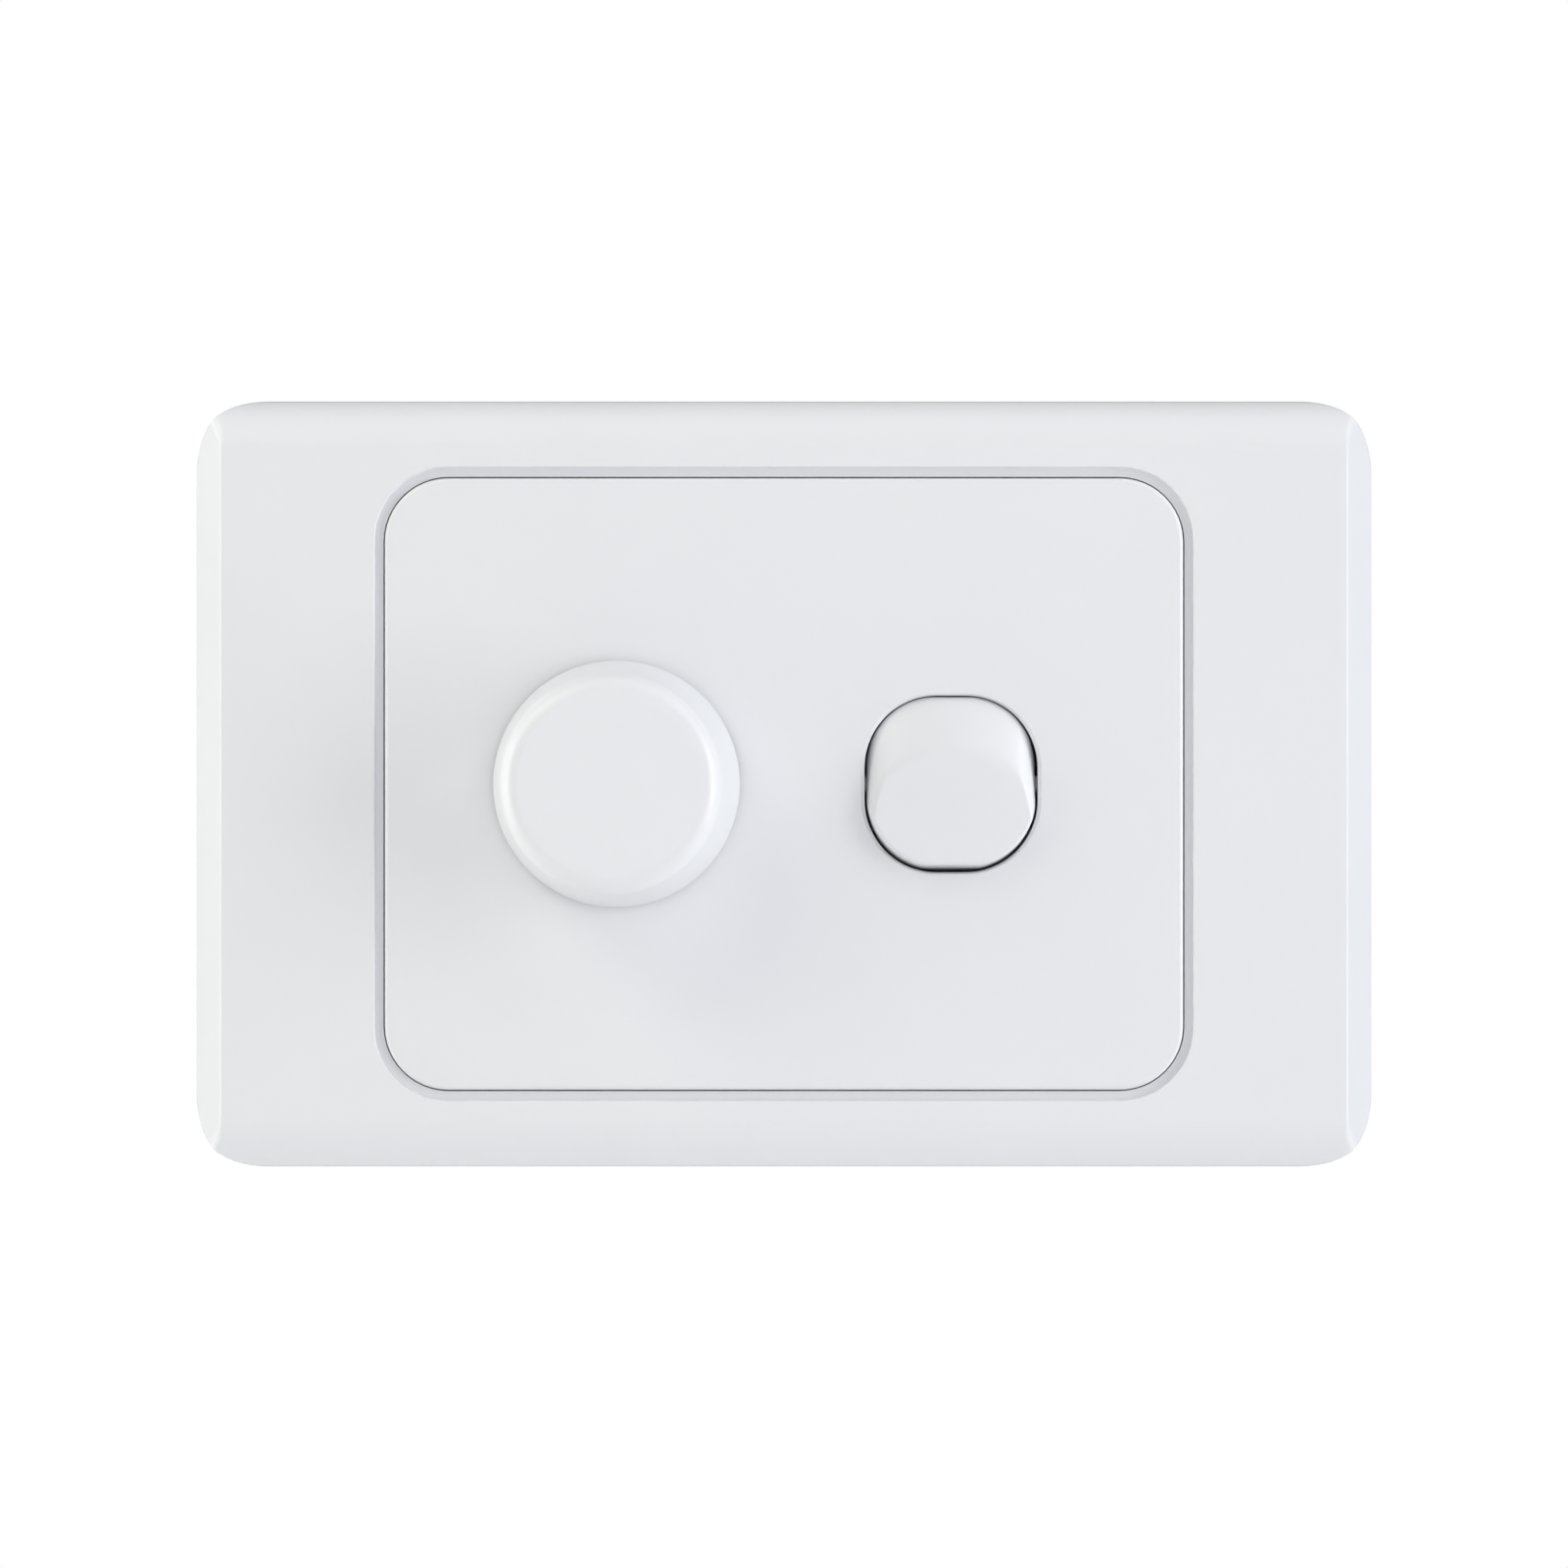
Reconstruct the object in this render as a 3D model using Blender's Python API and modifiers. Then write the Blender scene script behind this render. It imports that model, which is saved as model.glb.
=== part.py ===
"""Wall plate with a rotary dimmer and a rocker switch, as an assembly of separate pieces.

Frame: the origin is the centre of the plate on the wall surface, +X is to the right,
+Z is up and -Y points out of the wall.  Dimensions are named in millimetres, and the
helpers turn them into metres with MM.
"""

import math

import bmesh
import bpy
from mathutils import Matrix, Vector

MM = 0.001
GAP = 0.3  # clearance kept wherever two pieces rest on each other
OVERRUN = 1.0  # how far a cutter reaches past the face it opens
WELD = 1e-6  # metres
ARC_STEPS = 6  # edges in a quarter turn of a rounded corner
FINE_ARC_STEPS = 8  # the same for the plate's large corners and rolls
COARSE_ARC_STEPS = 3  # the same for folds and housing corners
ROUND_SEGMENTS = 24  # sides of a small turned piece
TINY_SEGMENTS = 16  # sides of a pin, a rivet or a small bore
WIDE_SEGMENTS = 32  # sides of the potentiometer's can
FRONT = (0, -1, 0)
REAR = (0, 1, 0)

# --- surround: the clip-on cover -----------------------------------------------------
PLATE_HALF = (58.5, 38.1)
PLATE_CORNER = 7.0
PLATE_FRONT = -9.0
SIDE_DEPTH = 4.5  # straight side wall before the bevels and the rolls
BEVEL_INSET = 3.1  # left and right edges are flat bevels
ROLL_INSET = 3.8  # top and bottom edges roll over on a quarter ellipse
FOLD_RADIUS = 0.6
SHELL = 1.8
INNER_SIDE_DEPTH = 3.9
INNER_BEVEL_INSET = 2.3
INNER_ROLL_INSET = 2.3
LIP_HALF = (40.25, 31.15)
LIP_CORNER = 7.1
LEDGE_Y = -8.35  # shallow step around the opening
OPENING_HALF = (39.44, 30.24)
OPENING_CORNER = 6.4
POST_AT = (30.0, 33.5)  # four posts that hold the surround on the grid plate
POST_HALF = (3.0, 0.6)
POST_BACK = -0.8
PRY_HALF_WIDTH = 5.0  # notch in the lower rim for lifting the surround off
PRY_DEPTH = 1.2

# --- grid plate: the fixed frame with the panel --------------------------------------
PANEL_HALF = (39.24, 30.04)
PANEL_CORNER = 6.2
PANEL_SKIN = 1.5
PANEL_WALL = 1.8
FLANGE_HALF = (55.5, 35.0)
FLANGE_CORNER = 5.0
FLANGE_THICK = 2.0
MODULE_X = 16.45  # the dimmer sits at -MODULE_X and the switch at +MODULE_X
APERTURE_HALF = 8.75
APERTURE_CORNER = 7.25
FIXING_X = 42.0  # 84 mm between the fixing screws
FIXING_HOLE = 2.1
FIXING_NOTCH = 3.1
RIB_X = (0.75, 1.95)
HOOK_HALF_WIDTH = 3.0
HOOK_ARM_Z = (11.9, 13.1)
HOOK_NIB_Z = 10.8
HOOK_NIB_Y = (-4.9, -3.6)

# --- fixing screws -------------------------------------------------------------------
SCREW_HEAD = (2.7, 2.2)  # radius and height of a cheese head
SCREW_SHANK = 1.6
SCREW_END = 32.4
SCREW_POINT = 1.6
RECESS = (3.4, 0.8, 1.1)  # length, width and depth of the driver recess

# --- modules: what both mechanisms share ---------------------------------------------
MODULE_FRONT = PLATE_FRONT + PANEL_SKIN + GAP
COLLAR_BACK = -5.2
COLLAR_HALF = (10.3, 11.6)
WAIST_HALF = (10.3, 10.4)

# --- switch module -------------------------------------------------------------------
PIVOT_Y = -6.3
ROCKER_HALF = (8.3, 8.62)
ROCKER_CORNER = 6.9
ROCKER_FRONT = -10.5
ROCKER_BACK = -4.8
ROCKER_TOP = 8.575  # end wall, square to the plate at rest
ROCKER_TRAVEL = math.radians(9.0)
CREST_Z = 3.2  # where the flat lower face meets the sloping upper one
UPPER_TILT = math.radians(20.0)
UPPER_RADIUS = 23.0
CROWN_SEGMENTS = 96
ROCKER_HOLLOW = (6.9, 5.5)
ROCKER_CEILING = -7.6
TRUNNION = (0.8, 9.6)  # radius and half length
TRUNNION_SLOT = (1.1, 9.9, -5.2)  # half width, half length and floor
NEUTRAL_TILT = ROCKER_TRAVEL / 2  # the rocker rests this far before its mid position
POST_RADIUS = 2.7
POST_SPAN = (-1.6, 5.6)  # along the post, counted from the pivot
BORE_RADIUS = 1.6
BORE_START = -0.6
PLUNGER_RADIUS = 1.3
PLUNGER_SPAN = (3.2, 7.84)  # straight part; a round nose follows
SPRING_SPAN = (-0.1, 2.7)
SPRING_COIL = 1.1
SPRING_WIRE = 0.16
SPRING_TURNS = 5
SWITCH_BACK = 7.7
SWITCH_BORE_HALF = (8.9, 9.1)
FLOOR_Y = (8.0, 9.2)
FLOOR_HALF = (10.3, 11.7)
WALLS_BACK = 18.0
WALL = 1.2
CROSS_WALL_Z = (2.2, 3.4)
ARM_Y = 3.0
ARM_Z = (10.7, 11.7)
ARM_HALF_WIDTH = 2.5
WINDOW_HALF_WIDTH = 1.5
WINDOW_Y = (4.0, 7.0)

# --- contacts ------------------------------------------------------------------------
SEESAW_Y = 3.4  # its pivot line
SEESAW_HALF = (2.5, 6.8)
SEESAW_THICK = 0.8
SEESAW_TILT = math.radians(8.0)
CONTACT_Z = 5.5
RIVET_HEAD = 1.3
RIVET_SHANK = 0.5
RIVET_HOLE = 0.8
MOVING_HEAD_THICK = 0.5
STRIP_Y = (6.9, 7.7)
STRIP_X = (-2.0, 6.7)
STRIP_Z = (4.1, 7.0)
FIXED_HEAD_Y = 5.85
LEG_X = (3.7, 6.7)
LEG_Z = (4.1, 4.9)
LEG_BACK = 10.4
COMMON_HALF_Z = 3.0
FULCRUM_TIP = (4.1, 0.3)  # depth and half width of the ridge under the see-saw
FULCRUM_FOOT = 0.75  # half width of the ridge on the strip
FULCRUM_HALF_X = 2.2

# --- terminals -----------------------------------------------------------------------
TERMINAL_HALF_X = 3.5
TERMINAL_DEPTH = 8.5
TERMINAL_LENGTH = 6.0
TUNNEL = 4.6
TUNNEL_START = 1.2
TERMINAL_BORE = 2.0
TERMINAL_SHANK = 1.7
TERMINAL_HEAD = (2.5, 2.0)
TERMINAL_HEAD_SEGMENTS = 20
SWITCH_TERMINAL_X = 5.2
SWITCH_TERMINAL_Y = 9.5
SWITCH_TERMINAL_Z = 5.2
DIMMER_TERMINAL_X = 5.2
DIMMER_TERMINAL_Y = 11.0
DIMMER_TERMINAL_Z = -19.7

# --- knob ----------------------------------------------------------------------------
KNOB_BACK = -9.4
KNOB_HEIGHT = 13.1
KNOB_BASE = 12.13
KNOB_SHOULDER = 10.6
KNOB_TOP = 8.67
KNOB_FILLET = 2.0
KNOB_WALL = 1.5
KNOB_HUB = 4.6
KNOB_HUB_START = 4.0  # from the knob's back
KNOB_SEGMENTS = 48

# --- potentiometer -------------------------------------------------------------------
SHAFT_RADIUS = 3.0
SHAFT_FRONT = -20.0
SHAFT_BACK = -5.2
SHAFT_FLAT = 1.5
SHAFT_FLAT_START = -13.4
BUSH_RADIUS = 4.5
BUSH_FRONT = -13.0
POT_PLATE = (8.3, -6.7, -5.9)  # radius, front and back
NUT_FLATS = 12.0
NUT_Y = (-11.9, -9.9)
WASHER_RADIUS = 7.0
WASHER_Y = (-9.6, -9.1)
CAN_RADIUS = 8.3
CAN_Y = (-5.6, 0.8)
CAN_WALL = 0.6
WIPER_RADIUS = 5.6
WIPER_Y = (-4.9, -3.9)
WIPER_LUG = (7.3, 8.0)  # reach in millimetres and half width in degrees
STOP_INNER = 5.95
STOP_HALF_ANGLE = 30.0
STOP_Y = (-5.3, -3.5)
TURN_START = -135.0  # the lug's place at rest, clockwise from straight up
TRACK_RADIUS = 7.2
TRACK_Y = (-3.0, -2.2)
TRACK_BORE = 2.2
PIN_X = (-2.5, 0.0, 2.5)
PIN_Z = -5.0
PIN_HALF = 0.4

# --- dimmer module -------------------------------------------------------------------
NECK_HALF = 8.4
NECK_CORNER = 6.9
NECK_FRONT = -8.8
POT_CHAMBER = (8.9, -7.0)  # radius and front wall
DIMMER_HALF = (13.0, 22.5)
DIMMER_CORNER = 1.5
DIMMER_SHOULDER = -3.2
DIMMER_BACK = 22.0
DIMMER_WALL = 1.5
COVER_THICK = 1.5
COVER_LIP = 2.0
ACCESS_HOLE = 2.9
WIRE_HOLE = 5.2
BOARD_HALF = (11.1, 20.6)
BOARD_Y = (3.5, 5.1)
PARTS_FRONT = 5.4  # components stand behind the board
CHOKE_AT = (-1.3, 9.3, 11.0)
CHOKE_MAJOR = 5.8
CHOKE_MINOR = 2.6
CHOKE_TURNS = 12
CHOKE_TURN_STEPS = 10
CHOKE_WIRE = 0.35
CHOKE_LOOP = 3.25
CHOKE_SPAN = (20.0, 340.0)  # the winding's start and end around the ring, in degrees
CAPACITOR = ((-10.6, -5.4), (5.4, 16.0), (-13.0, 0.0))
HEAT_SINK = ((9.6, 10.8), (5.4, 20.0), (-14.0, 0.0))
TRIAC_BODY = ((4.9, 7.7), (7.4, 16.0), (-12.0, -2.0))
TRIAC_TAB = ((8.0, 9.3), (7.4, 19.6), (-12.0, -2.0))
TRIAC_LEG_Z = (-9.5, -7.0, -4.5)
TRIAC_HOLE_Y = 17.8
TRIAC_HOLE = 1.7
TRIAC_SCREW_HEAD = (1.6, 1.2)  # radius and height
TRIAC_SCREW_SHANK = 1.3
RESISTOR = (1.2, 7.0)  # radius and length
RESISTOR_AT = ((-3.2, -5.0), (0.0, -5.0))
DIAC = (0.9, 4.0)
DIAC_AT = (2.8, -5.0)
FUSE = (1.7, 8.0)
FUSE_AT = (-1.4, -12.6)
LEAD = (0.3, 1.0)  # radius and length of a component's lead
LEAD_SEGMENTS = 12
COMPONENT_Y = 8.0

# --- finishes: base colour, roughness, metallic --------------------------------------
FINISHES = {
    "white_plastic": ((0.80, 0.80, 0.81, 1), 0.28, 0.0),
    "grey_plastic": ((0.42, 0.43, 0.45, 1), 0.5, 0.0),
    "black_plastic": ((0.03, 0.03, 0.035, 1), 0.45, 0.0),
    "red_film": ((0.45, 0.08, 0.05, 1), 0.35, 0.0),
    "phenolic": ((0.35, 0.20, 0.08, 1), 0.6, 0.0),
    "board_green": ((0.05, 0.22, 0.10, 1), 0.45, 0.0),
    "ferrite": ((0.10, 0.10, 0.11, 1), 0.7, 0.0),
    "steel": ((0.62, 0.62, 0.64, 1), 0.35, 1.0),
    "zinc": ((0.70, 0.70, 0.66, 1), 0.4, 1.0),
    "brass": ((0.72, 0.53, 0.22, 1), 0.3, 1.0),
    "silver": ((0.85, 0.85, 0.83, 1), 0.25, 1.0),
    "copper": ((0.72, 0.33, 0.16, 1), 0.35, 1.0),
    "aluminium": ((0.77, 0.78, 0.80, 1), 0.4, 1.0),
    "glass": ((0.75, 0.35, 0.15, 1), 0.1, 0.0),
}

PARTS = None
CUTTERS = None


# --- scene helpers -------------------------------------------------------------------
def start_scene():
    """Empty the file and make the two collections."""
    global PARTS, CUTTERS
    for old in list(bpy.data.objects):
        bpy.data.objects.remove(old, do_unlink=True)
    PARTS = bpy.data.collections.new("dimmer_switch")
    CUTTERS = bpy.data.collections.new("cutters")
    for collection in (PARTS, CUTTERS):
        bpy.context.scene.collection.children.link(collection)


def finish(part, name):
    """Give a part its own material."""
    colour, roughness, metallic = FINISHES[name]
    material = bpy.data.materials.new(part.name + "_" + name)
    material.use_nodes = True
    shader = material.node_tree.nodes["Principled BSDF"]
    shader.inputs["Base Color"].default_value = colour
    shader.inputs["Roughness"].default_value = roughness
    shader.inputs["Metallic"].default_value = metallic
    part.data.materials.clear()
    part.data.materials.append(material)
    return part


def add_object(name, mesh):
    part = bpy.data.objects.new(name, mesh)
    PARTS.objects.link(part)
    return part


def as_cutter(tool):
    """Move a helper solid to the cutters' collection."""
    PARTS.objects.unlink(tool)
    CUTTERS.objects.link(tool)
    tool.display_type = "WIRE"
    tool.hide_render = True


def boolean(part, operation, tools):
    for tool in tools:
        modifier = part.modifiers.new(operation.lower(), "BOOLEAN")
        modifier.operation = operation
        modifier.solver = "EXACT"
        modifier.object = tool
        as_cutter(tool)
    return part


def cut(part, *tools):
    return boolean(part, "DIFFERENCE", tools)


def join(part, *tools):
    return boolean(part, "UNION", tools)


def keep_common(part, *tools):
    return boolean(part, "INTERSECT", tools)


# --- solids --------------------------------------------------------------------------
def block(name, x, y, z):
    """A box between three pairs of limits."""
    size = [(high - low) * MM for low, high in (x, y, z)]
    centre = [(high + low) / 2 * MM for low, high in (x, y, z)]
    shape = bmesh.new()
    bmesh.ops.create_cube(shape, size=1.0, matrix=Matrix.Diagonal((*size, 1.0)))
    mesh = bpy.data.meshes.new(name)
    shape.to_mesh(mesh)
    shape.free()
    part = add_object(name, mesh)
    part.location = centre
    return part


def aim(part, base, direction):
    """Place a piece at base with its local Z along direction."""
    part.location = Vector(base) * MM
    part.rotation_mode = "QUATERNION"
    part.rotation_quaternion = Vector(direction).to_track_quat("Z", "Y")
    return part


def cylinder(name, radius, length, base, direction, segments=ROUND_SEGMENTS):
    """A cylinder that starts at base and runs along direction."""
    shape = bmesh.new()
    bmesh.ops.create_cone(
        shape,
        cap_ends=True,
        segments=segments,
        radius1=radius * MM,
        radius2=radius * MM,
        depth=length * MM,
        matrix=Matrix.Translation((0, 0, length / 2 * MM)),
    )
    mesh = bpy.data.meshes.new(name)
    shape.to_mesh(mesh)
    shape.free()
    smooth(mesh)
    return aim(add_object(name, mesh), base, direction)


def smooth(mesh, angle=math.radians(35)):
    mesh.shade_smooth()
    mesh.set_sharp_from_angle(angle=angle)


def turned(name, profile, base, direction, segments=ROUND_SEGMENTS):
    """A lathe piece: (radius, height) pairs down the outer side, closed if it is a ring."""
    is_ring = profile[0][0] > 0
    shape = bmesh.new()
    points = [shape.verts.new((radius * MM, 0, height * MM)) for radius, height in profile]
    for first, second in zip(points, points[1:]):
        shape.edges.new((first, second))
    if is_ring:
        shape.edges.new((points[-1], points[0]))
    mesh = bpy.data.meshes.new(name)
    shape.to_mesh(mesh)
    shape.free()
    part = aim(add_object(name, mesh), base, direction)
    screw = part.modifiers.new("turn", "SCREW")
    screw.axis = "Z"
    screw.angle = math.tau
    screw.steps = segments
    screw.render_steps = segments
    screw.use_merge_vertices = True
    screw.merge_threshold = WELD
    return part


def filleted(corners, steps=ARC_STEPS):
    """The outline through corners (x, y, radius), each rounded with an arc."""
    outline = []
    for index, (x, y, radius) in enumerate(corners):
        corner = Vector((x, y))
        if radius == 0:
            outline.append(tuple(corner))
            continue
        before = (Vector(corners[index - 1][:2]) - corner).normalized()
        after = (Vector(corners[(index + 1) % len(corners)][:2]) - corner).normalized()
        half_angle = before.angle(after) / 2
        reach = radius / math.tan(half_angle)
        centre = corner + (before + after).normalized() * radius / math.sin(half_angle)
        start = corner + before * reach - centre
        sweep = start.angle_signed(corner + after * reach - centre)
        for step in range(steps + 1):
            turn = Matrix.Rotation(-sweep * step / steps, 2)
            outline.append(tuple(centre + turn @ start))
    return outline


def rounded_rectangle(half_width, half_height, radius, steps=ARC_STEPS):
    signs = ((1, 1), (-1, 1), (-1, -1), (1, -1))
    return filleted([(half_width * a, half_height * b, radius) for a, b in signs], steps)


PLANE_TURNS = {
    "XZ": (math.pi / 2, 0, 0),  # extruded along Y
    "XY": (0, 0, 0),  # extruded along Z
    "YZ": (math.pi / 2, 0, math.pi / 2),  # extruded along X
}
PLANE_AXIS = {"XZ": 1, "XY": 2, "YZ": 0}


def prism(name, outline, plane, span, at=(0, 0, 0)):
    """An outline extruded over span on the axis square to its plane, as a mesh object."""
    curve = bpy.data.curves.new(name, "CURVE")
    curve.dimensions = "2D"
    curve.fill_mode = "BOTH"
    curve.extrude = (span[1] - span[0]) / 2 * MM
    spline = curve.splines.new("POLY")
    spline.points.add(len(outline) - 1)
    for point, (u, v) in zip(spline.points, outline):
        point.co = (u * MM, v * MM, 0, 1)
    spline.use_cyclic_u = True
    guide = bpy.data.objects.new(name + "_outline", curve)
    PARTS.objects.link(guide)
    guide.rotation_euler = PLANE_TURNS[plane]
    place = [value * MM for value in at]
    place[PLANE_AXIS[plane]] = (span[0] + span[1]) / 2 * MM
    guide.location = place
    return curve_to_mesh(name, guide)


def curve_to_mesh(name, guide):
    """Swap a curve object for a welded, closed mesh object in the same place."""
    bpy.context.view_layer.update()
    evaluated = guide.evaluated_get(bpy.context.evaluated_depsgraph_get())
    mesh = bpy.data.meshes.new_from_object(evaluated)
    mesh.name = name
    shape = bmesh.new()
    shape.from_mesh(mesh)
    bmesh.ops.remove_doubles(shape, verts=shape.verts, dist=WELD)
    bmesh.ops.recalc_face_normals(shape, faces=shape.faces)
    shape.to_mesh(mesh)
    shape.free()
    part = add_object(name, mesh)
    part.matrix_world = guide.matrix_world
    bpy.data.objects.remove(guide, do_unlink=True)
    return part


def wire(name, points, radius, base=(0, 0, 0), direction=(0, 0, 1)):
    """A round wire through points."""
    curve = bpy.data.curves.new(name, "CURVE")
    curve.dimensions = "3D"
    curve.bevel_depth = radius * MM
    curve.bevel_resolution = 1
    curve.use_fill_caps = True
    spline = curve.splines.new("POLY")
    spline.points.add(len(points) - 1)
    for point, place in zip(spline.points, points):
        point.co = (*(value * MM for value in place), 1)
    guide = bpy.data.objects.new(name + "_path", curve)
    PARTS.objects.link(guide)
    aim(guide, base, direction)
    return curve_to_mesh(name, guide)


def arc_points(radius, start, end, steps, centre=(0, 0)):
    """Points on an arc; angles in degrees, clockwise from straight up."""
    points = []
    for step in range(steps + 1):
        angle = math.radians(start + (end - start) * step / steps)
        points.append((centre[0] + radius * math.sin(angle), centre[1] + radius * math.cos(angle)))
    return points


# --- plate ---------------------------------------------------------------------------
def roll_profile(half, front, side_depth, inset, steps=FINE_ARC_STEPS):
    """Section across top and bottom: a straight side, then a quarter ellipse."""
    upper = [(OVERRUN, half)]
    for step in range(steps + 1):
        angle = math.pi / 2 * step / steps
        depth = -side_depth + (front + side_depth) * math.sin(angle)
        upper.append((depth, half - inset + inset * math.cos(angle)))
    return upper + [(y, -z) for y, z in reversed(upper)]


def bevel_profile(half, front, side_depth, inset):
    """Section across left and right: a straight side, then a flat bevel."""
    right = [
        (half, OVERRUN, 0),
        (half, -side_depth, FOLD_RADIUS),
        (half - inset, front, FOLD_RADIUS),
    ]
    return filleted(right + [(-x, y, r) for x, y, r in reversed(right)], COARSE_ARC_STEPS)


def plate_form(name, half, corner, front, side_depth, bevel_inset, roll_inset, back):
    """The plate's outer form: rounded corners, bevelled sides, rolled top and bottom."""
    form = prism(name, rounded_rectangle(*half, corner, FINE_ARC_STEPS), "XZ", (front - OVERRUN, back))
    beyond = (-half[0] - OVERRUN, half[0] + OVERRUN)
    bevel_outline = bevel_profile(half[0], front, side_depth, bevel_inset)
    bevels = prism(name + "_bevels", bevel_outline, "XY", beyond)
    roll_outline = roll_profile(half[1], front, side_depth, roll_inset)
    rolls = prism(name + "_rolls", roll_outline, "YZ", beyond)
    return keep_common(form, bevels, rolls)


def build_surround():
    inner_half = (PLATE_HALF[0] - SHELL, PLATE_HALF[1] - SHELL)
    inner_front = PLATE_FRONT + SHELL
    surround = plate_form(
        "surround", PLATE_HALF, PLATE_CORNER, PLATE_FRONT, SIDE_DEPTH, BEVEL_INSET, ROLL_INSET, 0.0
    )
    cavity = plate_form(
        "surround_cavity",
        inner_half,
        PLATE_CORNER - SHELL,
        inner_front,
        INNER_SIDE_DEPTH,
        INNER_BEVEL_INSET,
        INNER_ROLL_INSET,
        OVERRUN / 2,
    )
    through = (PLATE_FRONT - OVERRUN, OVERRUN)
    opening_outline = rounded_rectangle(*OPENING_HALF, OPENING_CORNER)
    opening = prism("surround_opening", opening_outline, "XZ", through)
    step = (PLATE_FRONT - OVERRUN, LEDGE_Y)
    ledge = prism("surround_ledge", rounded_rectangle(*LIP_HALF, LIP_CORNER), "XZ", step)
    notch = block(
        "pry_notch",
        (-PRY_HALF_WIDTH, PRY_HALF_WIDTH),
        (-PRY_DEPTH, OVERRUN),
        (-PLATE_HALF[1] - OVERRUN, -inner_half[1] + OVERRUN),
    )
    cut(surround, cavity, opening, ledge, notch)
    for side_x in (-1, 1):
        for side_z in (-1, 1):
            x = side_x * POST_AT[0]
            z = side_z * POST_AT[1]
            post = block(
                "surround_post",
                (x - POST_HALF[0], x + POST_HALF[0]),
                (inner_front - GAP, POST_BACK),
                (z - POST_HALF[1], z + POST_HALF[1]),
            )
            join(surround, post)
    finish(surround, "white_plastic")


def module_hook(centre_x, side):
    """One latch behind the panel that holds a module by its collar."""
    root = PLATE_FRONT + PANEL_SKIN - GAP
    outline = [
        (root, HOOK_ARM_Z[0]),
        (root, HOOK_ARM_Z[1]),
        (HOOK_NIB_Y[1], HOOK_ARM_Z[1]),
        (HOOK_NIB_Y[1], HOOK_NIB_Z),
        (HOOK_NIB_Y[0], HOOK_NIB_Z),
        (HOOK_NIB_Y[0], HOOK_ARM_Z[0]),
    ]
    outline = [(y, side * z) for y, z in outline]
    span = (centre_x - HOOK_HALF_WIDTH, centre_x + HOOK_HALF_WIDTH)
    return prism("module_hook", outline, "YZ", span)


def build_grid_plate():
    flange = rounded_rectangle(*FLANGE_HALF, FLANGE_CORNER)
    grid = prism("grid_plate", flange, "XZ", (-FLANGE_THICK, 0))
    raised = (PLATE_FRONT, -FLANGE_THICK / 2)
    panel = prism("panel", rounded_rectangle(*PANEL_HALF, PANEL_CORNER), "XZ", raised)
    inner_half = (PANEL_HALF[0] - PANEL_WALL, PANEL_HALF[1] - PANEL_WALL)
    skin_back = PLATE_FRONT + PANEL_SKIN
    inner_outline = rounded_rectangle(*inner_half, PANEL_CORNER - PANEL_WALL)
    hollow = prism("panel_hollow", inner_outline, "XZ", (skin_back, OVERRUN))
    join(grid, panel)
    cut(grid, hollow)
    rib_z = inner_half[1] + PANEL_WALL / 2
    join(grid, block("panel_rib", RIB_X, (skin_back - GAP, -FLANGE_THICK / 2), (-rib_z, rib_z)))
    for centre_x in (-MODULE_X, MODULE_X):
        square = rounded_rectangle(APERTURE_HALF, APERTURE_HALF, APERTURE_CORNER)
        span = (PLATE_FRONT - OVERRUN, skin_back + OVERRUN)
        cut(grid, prism("aperture", square, "XZ", span, at=(centre_x, 0, 0)))
        join(grid, module_hook(centre_x, 1), module_hook(centre_x, -1))
    for side in (-1, 1):
        x = side * FIXING_X
        start = (x, skin_back, 0)
        notch = cylinder("head_notch", FIXING_NOTCH, -FLANGE_THICK - skin_back, start, REAR)
        hole_length = FLANGE_THICK + 2 * OVERRUN
        hole = cylinder("fixing_hole", FIXING_HOLE, hole_length, (x, OVERRUN, 0), FRONT)
        cut(grid, notch, hole)
        for side_z in (-1, 1):
            slot_x = side * POST_AT[0]
            slot_z = side_z * POST_AT[1]
            slot = block(
                "post_slot",
                (slot_x - POST_HALF[0] - GAP, slot_x + POST_HALF[0] + GAP),
                (-FLANGE_THICK - OVERRUN, OVERRUN),
                (slot_z - POST_HALF[1] - GAP, slot_z + POST_HALF[1] + GAP),
            )
            cut(grid, slot)
    finish(grid, "white_plastic")


def cross_recess(part, centre, tip, direction_sign):
    """Cut a cross-shaped driver recess into a head whose face is at depth tip."""
    length, width, depth = RECESS
    span = sorted((tip - direction_sign * depth, tip + direction_sign * OVERRUN))
    x, z = centre
    across = block("recess", (x - length / 2, x + length / 2), span, (z - width / 2, z + width / 2))
    upright = block("recess", (x - width / 2, x + width / 2), span, (z - length / 2, z + length / 2))
    cut(part, across, upright)


def build_fixing_screws():
    head_radius, head_height = SCREW_HEAD
    seat = -FLANGE_THICK - GAP
    for name, x in (("fixing_screw_left", -FIXING_X), ("fixing_screw_right", FIXING_X)):
        length = SCREW_END - seat
        profile = [
            (0, head_height),
            (head_radius - GAP, head_height),
            (head_radius, head_height - GAP),
            (head_radius, 0),
            (SCREW_SHANK, 0),
            (SCREW_SHANK, SCREW_POINT - length),
            (SCREW_SHANK / 3, -length),
            (0, -length),
        ]
        screw = turned(name, profile, (x, seat, 0), FRONT)
        cross_recess(screw, (x, 0), seat - head_height, -1)
        finish(screw, "zinc")


# --- switch module -------------------------------------------------------------------
def post_point(distance):
    """A point on the rocker's centre post, distance behind the pivot."""
    return (MODULE_X, PIVOT_Y + distance * math.cos(NEUTRAL_TILT), -distance * math.sin(NEUTRAL_TILT))


POST_DIRECTION = (0, math.cos(NEUTRAL_TILT), -math.sin(NEUTRAL_TILT))


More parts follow.
